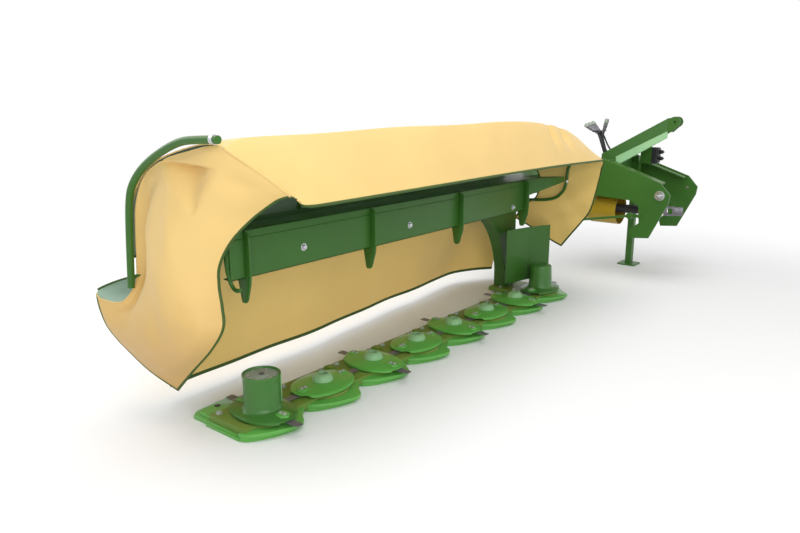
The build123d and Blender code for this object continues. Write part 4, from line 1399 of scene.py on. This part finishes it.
@dataclass
class GuardSheet:
    """The sheet in front of the beam, its inner end swept forward, with four ribs."""

    face_x: float = 0.010
    outer_y: float = -2.350
    inner_y: float = 0.590
    bottom: float = 0.755
    top: float = 0.998
    corner: Point = (0.150, 0.985, 0.957)
    rib_pitch: float = 0.940
    thickness: float = 0.006

    def build(self) -> None:
        """Folds the sheet and welds its ribs on."""
        face, low, high = self.face_x, self.bottom, self.top
        corner_x, corner_y, corner_z = self.corner
        wall = self.thickness
        parts = [
            cut_plate(((face, self.outer_y, low), (face, self.inner_y, low), (face, self.inner_y, high),
                       (face, self.outer_y, high)), (-wall, 0.0, 0.0), 0.0015),
            cut_plate(((face, self.inner_y - 0.004, 0.862), (corner_x, corner_y, corner_z),
                       (corner_x, corner_y, high), (face, self.inner_y - 0.004, high)),
                      (-wall * 0.94, wall * 0.33, 0.0), 0.0015),
            cut_plate(((-0.150, self.outer_y, high - wall), (face, self.outer_y, high - wall),
                       (face, self.inner_y, high - wall), (corner_x, corner_y, high - wall),
                       (corner_x - 0.06, corner_y, high - wall), (-0.150, 0.710, high - wall)),
                      (0.0, 0.0, wall), 0.0015),
            block((-0.270, self.outer_y, high - wall), (-0.148, self.inner_y, high), 0.0015),
            block((face - 0.060, self.outer_y, low), (face, self.inner_y, low + wall), 0.0015),
            bent_tube("sheet_bead", ((face - 0.001, self.outer_y + 0.01, 0.952), (face - 0.001, -0.9, 0.952),
                                     (face - 0.001, self.inner_y - 0.01, 0.952)), 0.0045, 2),
        ]
        for index in range(4):
            parts.append(self.rib(-2.260 + self.rib_pitch * index))
        settle(joined(parts), "front_sheet", Finish.GREEN, "mower", ("guard_sheet",))

    def rib(self, y: float) -> Piece:
        """One rib, whose hooked tip reaches below the sheet.

        Args:
            y: the middle of its thickness.

        Returns:
            The rib.
        """
        face, low = self.face_x, self.bottom
        outline = ((face, 0.994), (face + 0.030, 0.984), (face + 0.042, 0.966), (face + 0.042, low + 0.02),
                   (face + 0.036, low - 0.03), (face + 0.010, 0.640), (face - 0.004, 0.625),
                   (face - 0.030, 0.625), (face - 0.036, 0.640), (face - 0.050, 0.720), (face - 0.060, low),
                   (face, low))
        return cut_plate([(x, y - 0.006, z) for x, z in outline], (0.0, 0.012, 0.0), 0.002)


@dataclass
class HitchDetails:
    """Washers and clips of the link pins, the mast's flange, the couplings, their hoses and the valve."""

    pin: tuple[float, float] = (0.690, 0.800)
    near_y: float = 1.758
    far_y: float = 2.582
    rack: Point = (-0.075, 2.175, 1.335)
    hose_length: float = 0.271
    hose_diameter: float = 0.016

    def build(self) -> None:
        """Builds the details of the headstock."""
        self.build_pin_clips()
        self.build_mast_flange()
        self.build_couplings()
        self.build_hoses()
        self.build_valve()

    def build_pin_clips(self) -> None:
        """A washer and a spring clip on each lower link pin."""
        x, z = self.pin
        parts = []
        for y, side in ((self.near_y, -1.0), (self.far_y, 1.0)):
            washer = turned(((0.044, 0.0), (0.044, 0.003), (0.040, 0.004), (0.028, 0.0045)), segments=40)
            parts.append(aimed(washer, (x, y, z), (0.0, side, 0.0)))
            tip = y + side * 0.080
            ring = ((x, tip, z + 0.016), (x + 0.022, tip, z + 0.018), (x + 0.030, tip, z - 0.004),
                    (x + 0.018, tip, z - 0.024), (x, tip, z - 0.020))
            parts.append(bent_tube("spring_clip", ring, 0.0025, 8))
        settle(joined(parts), "pin_clips", Finish.PLATED, "headstock")

    def build_mast_flange(self) -> None:
        """The sloping flange along the mast's lower edge, on the side away from the parking stand."""
        outline = ((0.180, 1.986, 1.106), (0.592, 2.123, 1.345), (0.604, 2.092, 1.292), (0.212, 1.926, 1.030))
        plate = cut_plate(outline, (0.004, 0.004, -0.006), 0.0015)
        # Painted highlight: the flange takes the pale hub green, lighter than the mast, standing in for the
        # light on its slope.
        settle(plate, "mast_flange", Finish.HUB_GREEN, "headstock")

    def build_couplings(self) -> None:
        """Quick couplings with their caps, parked on the rack."""
        x, y, z = self.rack
        sleeves = []
        caps = []
        for aside, lean in ((-0.075, (-0.86, 0.0, 0.50)), (-0.025, (-0.80, 0.1, 0.58)),
                            (0.030, (-0.70, 0.1, 0.70)), (0.080, (0.22, 0.0, 0.97))):
            foot = (x - 0.020 if lean[0] < 0 else x + 0.015, y + aside, z)
            sleeve = turned(((0.012, -0.045), (0.012, -0.010), (0.017, -0.006), (0.017, 0.030),
                             (0.020, 0.034), (0.020, 0.062), (0.017, 0.066), (0.017, 0.080)), segments=28)
            cap = turned(((0.0185, 0.070), (0.0225, 0.074), (0.0225, 0.092), (0.0200, 0.098),
                          (0.0205, 0.104), (0.0160, 0.112), (0.0060, 0.114)), segments=28)
            sleeves.append(aimed(sleeve, foot, lean))
            caps.append(aimed(cap, foot, lean))
        settle(joined(sleeves), "coupling_sleeves", Finish.BLADE, "headstock")
        settle(joined(caps), "coupling_caps", Finish.PALE_GREEN, "headstock")

    def build_hoses(self) -> None:
        """Two hydraulic hoses from the rack down to the root box."""
        for number, aside in ((1, -0.075), (2, 0.030)):
            y = self.rack[1] + aside
            route = ((-0.062, y, 1.312), (-0.040, y, 1.290), (-0.012, y - 0.006, 1.236),
                     (0.020, y - 0.008, 1.180), (0.058, y - 0.004, 1.130), (0.066, y, 1.104),
                     (0.066, y, 1.079))
            data = bpy.data.curves.new(f"hose_{number}", "CURVE")
            nurbs_line(data, route, self.hose_diameter / 2, 10)
            hose = new_object(f"hose_{number}", data)
            paint(hose, Finish.RUBBER)
            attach(hose, "headstock")

    def build_valve(self) -> None:
        """The valve's stacked sections and its coils."""
        parts = []
        for level in range(3):
            low = 1.052 + level * 0.046
            parts.append(block((0.404, 2.176, low), (0.506, 2.268, low + 0.038), 0.004))
        settle(joined(parts), "valve_sections", Finish.BLACK_METAL, "headstock")
        coils = []
        for level in range(2):
            coil = turned(((0.016, 0.0), (0.018, 0.002), (0.018, 0.030), (0.015, 0.034), (0.007, 0.036),
                           (0.007, 0.044)), segments=24)
            coils.append(aimed(coil, (0.506, 2.222, 1.090 + level * 0.060), (1.0, 0.0, 0.0)))
        settle(joined(coils), "valve_coils", Finish.BLACK_PLASTIC, "headstock")


@dataclass
class HoodCloth:
    """The folded-up cloth hood: its roof and apron, and the two side cloths."""

    outer_y: float = -2.586
    inner_y: float = 1.053
    crest_x: float = 0.3
    tail: tuple[float, float] = (-0.498, 0.842)
    corner: list[Vector] = field(default_factory=list)
    welt: float = 0.014
    back_hem: float = 0.008
    sag: float = 0.008
    sagging_length: float = 3.4
    crease_z: float = 1.356
    crease_slope: float = 0.040
    dent_height: float = 0.230
    dent_half_width: float = 0.235
    dent_depth: float = 0.082
    stations: tuple[tuple[float, ...], ...] = (
        # y at the hem, hem x, hem z, y on the roof, crest z, ridge z, z over the rear bend
        (-2.350, 0.460, 1.223, -2.586, 1.440, 1.374, 1.322),
        (-2.313, 0.466, 1.190, -2.540, 1.449, 1.376, 1.326),
        (-2.275, 0.482, 1.156, -2.440, 1.456, 1.378, 1.328),
        (-2.092, 0.504, 1.155, -2.150, 1.462, 1.380, 1.329),
        (-1.646, 0.497, 1.155, -1.650, 1.468, 1.382, 1.330),
        (-1.185, 0.485, 1.155, -1.185, 1.472, 1.382, 1.330),
        (-0.617, 0.470, 1.155, -0.617, 1.475, 1.382, 1.330),
        (-0.063, 0.468, 1.155, -0.063, 1.470, 1.382, 1.330),
        (0.300, 0.472, 1.154, 0.270, 1.450, 1.380, 1.330),
        (0.560, 0.476, 1.152, 0.520, 1.413, 1.378, 1.328),
        (0.800, 0.478, 1.149, 0.760, 1.344, 1.374, 1.326),
        (0.970, 0.468, 1.146, 0.940, 1.262, 1.371, 1.324),
        (1.056, 0.446, 1.144, 1.053, 1.200, 1.370, 1.322),
    )

    def build(self) -> None:
        """Hangs the three cloths and sews their hems."""
        self.corner = self.front_corner(80)
        self.build_cover()
        self.build_outer_side()
        self.build_inner_side()

    def profile(self, hem_y: float, hem_x: float, hem_z: float, roof_y: float, crest_z: float, ridge_z: float,
                rear_z: float) -> list[Point]:
        """One row of the cover, from the hem of its apron over the roof to its tail.

        Args:
            hem_y: y of the apron's hem.
            hem_x: x of the hem.
            hem_z: height of the hem.
            roof_y: y of the rest of the row.
            crest_z: height over the front tube.
            ridge_z: height of the roof behind it.
            rear_z: height over the rear bend.

        Returns:
            The row's points.
        """
        lead = (self.crest_x + 0.046, roof_y, crest_z - 0.016)
        middle = tuple((a + b) / 2 for a, b in zip((hem_x, hem_y, hem_z), lead))
        return [
            (hem_x, hem_y, hem_z),
            (middle[0] + 0.012, middle[1], middle[2]),
            lead,
            (self.crest_x, roof_y, crest_z),
            (0.125, roof_y, crest_z * 0.5 + ridge_z * 0.5 + 0.014),
            (-0.079, roof_y, ridge_z),
            (-0.235, roof_y, rear_z - 0.006),
            (-0.372, roof_y, rear_z - 0.120),
            (-0.455, roof_y, 1.060),
            (self.tail[0], roof_y, self.tail[1]),
        ]

    def front_corner(self, count: int) -> list[Vector]:
        """The edge that the cover shares with the outer side cloth, from the notch up to the crest.

        Args:
            count: how many points to give.

        Returns:
            The points.
        """
        line = [Vector(point) for point in self.profile(*self.stations[0])]
        last = 3 / (len(line) - 1)
        return [smooth_point(line, last * step / (count - 1)) for step in range(count)]

    def rounded(self, place: Vector) -> Vector:
        """Rounds the cloth over at the shared edge."""
        return soften(place, self.corner, Vector((-0.35, 0.70, -0.62)), 0.120, 0.030)

    def drape_cover(self, place: Vector, across: float, along: float) -> Vector:
        """Sags the cover between its bows and rumples its inner end.

        Args:
            place: the point on the plain sheet.
            across: how far across the rows it is, 0 to 1; not used.
            along: how far along its row it is, 0 to 1.

        Returns:
            The moved point.
        """
        part = min(max((place.y - self.outer_y) / self.sagging_length, 0.0), 1.0)
        sag = self.sag * (0.5 - 0.5 * math.cos(2 * math.pi * 3 * part))
        place = place - Vector((0, 0, sag * math.sin(math.pi * min(along * 1.15, 1.0))))
        place = press(place, (0.40, 0.27, 1.40), (0.09, 0.040, 0.10), (-0.026, 0, -0.014))
        place = press(place, (0.40, 0.47, 1.36), (0.12, 0.055, 0.08), (-0.030, 0, -0.008))
        place = press(place, (0.44, -2.17, 1.30), (0.10, 0.10, 0.16), (0.012, 0, 0.0))
        return self.rounded(place)

    def build_cover(self) -> None:
        """The roof cloth with its apron and back."""
        sheet = ClothSheet(
            name="cover_cloth", body="hood", node="hood_cover", flat=(3.72, 1.72), area=5.39,
            rows=[self.profile(*station) for station in self.stations], finish=Finish.LINING,
            lining=Finish.CREAM, steps=(170, 84), shape=self.drape_cover,
        )
        sheet.hang(("first", self.welt, Finish.CREAM), ("front",), ("back",))

    def drape_outer(self, place: Vector, across: float, along: float) -> Vector:
        """Presses the three-cornered dent and the softer hollows into the outer side cloth.

        Args:
            place: the point on the plain sheet.
            across: how far across the rows it is, 0 to 1; not used.
            along: how far along its row it is, 0 to 1; not used.

        Returns:
            The moved point.
        """
        below = self.crease_z - self.crease_slope * (place.x + 0.156) - place.z
        half = self.dent_half_width * (1.0 - below / self.dent_height)
        middle = 0.056 + 0.10 * below
        if 0.0 < below < self.dent_height and abs(place.x - middle) < half:
            side = 1.0 - abs(place.x - middle) / half
            depth = self.dent_depth * side * side * (3.0 - 2.0 * side)
            depth *= min(below / 0.013, 1.0) * (1.0 - below / (self.dent_height + 0.015))
            place = place + Vector((0.0, depth, 0.0))
        place = press(place, (0.29, -2.54, 1.27), (0.08, 0.3, 0.06), (0.0, 0.034, 0.0))
        place = press(place, (-0.05, -2.60, 1.02), (0.05, 0.3, 0.22), (0.0, -0.012, 0.0))
        place = press(place, (-0.18, -2.63, 0.55), (0.05, 0.3, 0.12), (0.0, 0.012, 0.0))
        return self.rounded(place)

    def build_outer_side(self) -> None:
        """The outer end cloth, with its front edge curled inwards and a sharp fold behind the bow."""
        shared = [tuple(point) for point in self.front_corner(8)]
        columns = (
            # hem, front, bulge, before the fold, fold, groove, strip, edge beside the bow, in millimetres
            ((345, -2352, 1166), (320, -2450, 1215), (275, -2545, 1275), (235, -2580, 1318),
             (195, -2592, 1354), (160, -2594, 1378), (135, -2590, 1391), (110, -2586, 1402)),
            ((228, -2380, 1084), (180, -2500, 1125), (110, -2585, 1185), (50, -2602, 1240),
             (-5, -2604, 1282), (-60, -2600, 1318), (-88, -2592, 1336), (-115, -2586, 1350)),
            ((142, -2430, 983), (85, -2550, 1010), (-10, -2620, 1055), (-100, -2622, 1110),
             (-175, -2608, 1168), (-228, -2580, 1215), (-258, -2580, 1240), (-285, -2584, 1265)),
            ((80, -2455, 868), (20, -2570, 885), (-80, -2635, 925), (-190, -2632, 985),
             (-270, -2606, 1045), (-320, -2540, 1088), (-350, -2556, 1112), (-380, -2582, 1132)),
            ((60, -2452, 765), (2, -2575, 775), (-110, -2645, 805), (-215, -2638, 865),
             (-278, -2608, 918), (-330, -2535, 950), (-372, -2554, 970), (-410, -2582, 985)),
            ((85, -2460, 665), (20, -2580, 665), (-110, -2650, 685), (-225, -2642, 735),
             (-302, -2610, 788), (-368, -2537, 812), (-400, -2556, 825), (-425, -2582, 835)),
            ((110, -2480, 575), (30, -2590, 560), (-125, -2652, 585), (-255, -2650, 640),
             (-342, -2618, 698), (-415, -2550, 720), (-436, -2566, 722), (-452, -2584, 719)),
            ((30, -2495, 455), (-60, -2590, 440), (-230, -2650, 460), (-360, -2664, 510),
             (-425, -2642, 566), (-474, -2600, 604), (-496, -2612, 614), (-520, -2628, 622)),
            ((-130, -2500, 305), (-240, -2590, 325), (-400, -2640, 385), (-510, -2660, 445),
             (-572, -2668, 500), (-612, -2662, 556), (-632, -2662, 590), (-652, -2664, 620)),
            ((-285, -2500, 158), (-400, -2580, 262), (-520, -2630, 370), (-590, -2650, 430),
             (-640, -2660, 480), (-670, -2666, 540), (-688, -2668, 590), (-705, -2664, 640)),
        )
        sheet = ClothSheet(
            name="outer_cloth", body="hood", node="outer_side_cloth", flat=(1.6, 0.95), area=0.867,
            rows=[shared, *in_metres(columns)], lining=Finish.LINING, steps=(150, 100),
            shape=self.drape_outer,
        )
        sheet.hang(("first", self.welt, Finish.CREAM), ("back", self.back_hem, Finish.CREAM), ("front",),
                   ("last", 0.010))
        self.build_flap()

    def build_flap(self) -> None:
        """The back corner of the outer cloth, which shows its lining over the rolled edge."""
        columns = (
            ((-452, -2566, 742), (-470, -2540, 700), (-492, -2560, 655), (-506, -2606, 616)),
            ((-540, -2560, 734), (-548, -2535, 690), (-560, -2565, 645), (-575, -2630, 600)),
            ((-630, -2580, 706), (-632, -2560, 672), (-636, -2590, 635), (-640, -2648, 606)),
            ((-690, -2620, 678), (-690, -2606, 660), (-688, -2625, 640), (-686, -2658, 620)),
            ((-712, -2652, 660), (-711, -2650, 654), (-709, -2654, 648), (-706, -2662, 640)),
        )
        sheet = ClothSheet(
            name="outer_flap", body="hood", node="outer_side_cloth", flat=(0.30, 0.17), area=0.037,
            rows=in_metres(columns), finish=Finish.LINING, lining=Finish.LINING, steps=(40, 20),
        )
        sheet.hang(("front", 0.007))

    def build_inner_side(self) -> None:
        """The inner end cloth, cut away round the beam."""
        columns = (
            # from the front edge back to the cut round the beam, in millimetres, y from the cloth's plane
            ((310, 0, 1196), (180, 0, 1262), (20, 0, 1318), (-290, 0, 1266)),
            ((444, 6, 1140), (280, 12, 1150), (60, 12, 1190), (-262, 0, 1168)),
            ((436, 10, 1076), (276, 16, 1070), (90, 13, 1085), (-195, 0, 1112)),
            ((425, 14, 1010), (270, 22, 985), (100, 14, 960), (-112, 0, 955)),
            ((395, 16, 865), (250, 6, 855), (90, 20, 860), (-118, 0, 880)),
            ((361, 4, 721), (220, 18, 730), (70, 6, 760), (-150, 0, 792)),
            ((285, 10, 612), (160, 4, 640), (0, 16, 680), (-245, 0, 728)),
            ((200, 2, 500), (90, 12, 540), (-60, 4, 590), (-300, 0, 660)),
            ((119, 0, 392), (13, 6, 432), (-130, 0, 505), (-345, 0, 596)),
        )
        sheet = ClothSheet(
            name="inner_cloth", body="hood", node="inner_side_cloth", finish=Finish.SHADED_CREAM,
            lining=Finish.SHADED_CREAM, flat=(0.95, 0.60), area=0.469,
            rows=in_metres(columns, self.inner_y), steps=(70, 40),
        )
        sheet.hang(*[(side, 0.010) for side in ("front", "last", "back")])


@dataclass
class RearCurtain:
    """The curtain that hangs from the rail behind the beam, with a broad hem."""

    rail_x: float = -0.466
    top_z: float = 0.880
    hem_z: float = 0.102
    hem_line: tuple[tuple[float, float], ...] = (
        # y and x of the hem
        (-2.425, -0.474), (-2.130, -0.490), (-1.620, -0.525), (-0.900, -0.575), (-0.230, -0.640),
        (0.300, -0.700), (0.600, -0.725), (0.820, -0.640), (0.998, -0.520),
    )

    def build(self) -> None:
        """Hangs the curtain and sews its hem."""
        rows = []
        for y, x in self.hem_line:
            rows.append([
                (x, y, self.hem_z),
                (x + 0.02, y, self.hem_z + 0.14),
                (self.rail_x * 0.45 + x * 0.55, y, 0.47),
                (self.rail_x - 0.004, y, 0.76),
                (self.rail_x - 0.002, y, self.top_z),
            ])
        sheet = ClothSheet(
            name="curtain_cloth", body="mower", node="rear_curtain", finish=Finish.SHADED_CREAM,
            lining=Finish.SHADED_CREAM, flat=(3.6, 0.82), area=2.755, rows=rows,
            steps=(140, 30), held="hung", rests_on=("hood_brackets",), shape=self.fold,
        )
        sheet.hang(("front", 0.020))

    def fold(self, place: Vector, across: float, along: float) -> Vector:
        """Lets the lower part swing in long soft folds.

        Args:
            place: the point on the plain sheet.
            across: how far across the rows it is, 0 to 1; not used.
            along: how far along its row it is, 0 to 1.

        Returns:
            The moved point.
        """
        low = (1.0 - along) ** 1.5
        swing = 0.012 * math.sin(place.y * 4.1 + 0.6) + 0.006 * math.sin(place.y * 9.7 + 2.0)
        return place + Vector((swing * low, 0.0, 0.0))


@dataclass
class Studio:
    """Floor, lamps and the camera at the photograph's view."""

    floor_size: float = 60.0
    shadow_reach: float = 2.6
    white_reach: float = 5.2
    camera_place: Point = (2.655, -4.334, 1.599)
    camera_yaw: float = 128.769
    camera_pitch: float = -13.486
    camera_roll: float = -0.072
    focal_pixels: float = 682.409
    frame_width: int = 800
    sensor_width: float = 36.0
    fill: float = 0.54

    def build(self) -> None:
        """Builds the studio."""
        self.build_floor()
        self.build_lamps()
        self.build_world()
        self.build_camera()

    def build_floor(self) -> None:
        """Lays the pale floor, which turns plain white away from the mower."""
        deselect()
        bpy.ops.mesh.primitive_plane_add(size=self.floor_size)
        floor = bpy.context.object
        floor.name = "floor"
        material = bpy.data.materials.new("studio_floor")
        material.use_nodes = True
        sketch = NodeSketch(material.node_tree)
        out = sketch.add("ShaderNodeOutputMaterial")
        shader = sketch.add("ShaderNodeBsdfPrincipled")
        shader.inputs["Base Color"].default_value = (0.93, 0.93, 0.93, 1)
        shader.inputs["Roughness"].default_value = 0.9
        white = sketch.add("ShaderNodeEmission")
        blend = sketch.add("ShaderNodeMixShader")
        place = sketch.add("ShaderNodeTexCoord")
        spread = sketch.add("ShaderNodeVectorMath", operation="LENGTH")
        sketch.join(place.outputs["Object"], spread.inputs[0])
        far = sketch.remap(spread.outputs["Value"], self.shadow_reach, self.white_reach, 0.0, 1.0)
        sketch.join(sketch.math("MULTIPLY", far, sketch.seen_directly()), blend.inputs["Fac"])
        sketch.join(shader.outputs[0], blend.inputs[1])
        sketch.join(white.outputs[0], blend.inputs[2])
        sketch.join(blend.outputs[0], out.inputs["Surface"])
        floor.data.materials.append(material)

    def build_lamps(self) -> None:
        """Hangs three soft lamps: above, in front and a weaker one behind."""
        for name, place, size, power in (
            ("top_lamp", (0.4, -1.0, 6.8), 6.0, 250.0),
            ("front_lamp", (5.0, -5.0, 3.2), 4.5, 175.0),
            ("rear_lamp", (-5.5, -2.5, 4.0), 4.0, 110.0),
        ):
            data = bpy.data.lights.new(name, "AREA")
            data.shape = "SQUARE"
            data.size = size
            data.energy = power
            lamp = new_object(name, data)
            lamp.location = place
            towards = Vector((0.0, 0.0, 0.5)) - Vector(place)
            lamp.rotation_euler = towards.to_track_quat("-Z", "Y").to_euler()

    def build_world(self) -> None:
        """Sets an even white world, a little dimmer as a light than it looks."""
        world = bpy.data.worlds.new("studio_world")
        bpy.context.scene.world = world
        world.use_nodes = True
        sketch = NodeSketch(world.node_tree)
        out = sketch.add("ShaderNodeOutputWorld")
        back = sketch.add("ShaderNodeBackground")
        seen = sketch.math("MULTIPLY", sketch.seen_directly(), 1.0 - self.fill)
        strength = sketch.math("ADD", seen, self.fill)
        sketch.join(strength, back.inputs["Strength"])
        back.inputs["Color"].default_value = (1, 1, 1, 1)
        sketch.join(back.outputs[0], out.inputs["Surface"])

    def build_camera(self) -> None:
        """Places the camera where the photograph was taken from."""
        data = bpy.data.cameras.new("camera")
        data.sensor_width = self.sensor_width
        data.lens = self.focal_pixels * self.sensor_width / self.frame_width
        data.clip_end = 100.0
        camera = new_object("camera", data)
        turn = Matrix.Rotation(math.radians(self.camera_yaw - 90.0), 4, "Z")
        tip = Matrix.Rotation(math.radians(90.0 + self.camera_pitch), 4, "X")
        roll = Matrix.Rotation(math.radians(self.camera_roll), 4, "Z")
        camera.matrix_world = Matrix.Translation(self.camera_place) @ turn @ tip @ roll
        bpy.context.scene.camera = camera


def main() -> None:
    """Builds the studio and every sub-assembly in order."""
    logging.basicConfig(level=logging.INFO, format="%(name)s: %(message)s")
    scene = bpy.context.scene
    scene.view_settings.view_transform = "Standard"
    Studio().build()
    dress_nodes()
    log.info("nodes dressed")
    assemblies = [HoodFrame(), HoodCloth(), RearCurtain(), GuardSheet(), CutterBar()]
    assemblies += [Rotor(index) for index in range(8)]
    assemblies += [Fastenings(), HitchDetails()]
    for assembly in assemblies:
        assembly.build()
        log.info("built %s", type(assembly).__name__)


if __name__ == "__main__":
    main()
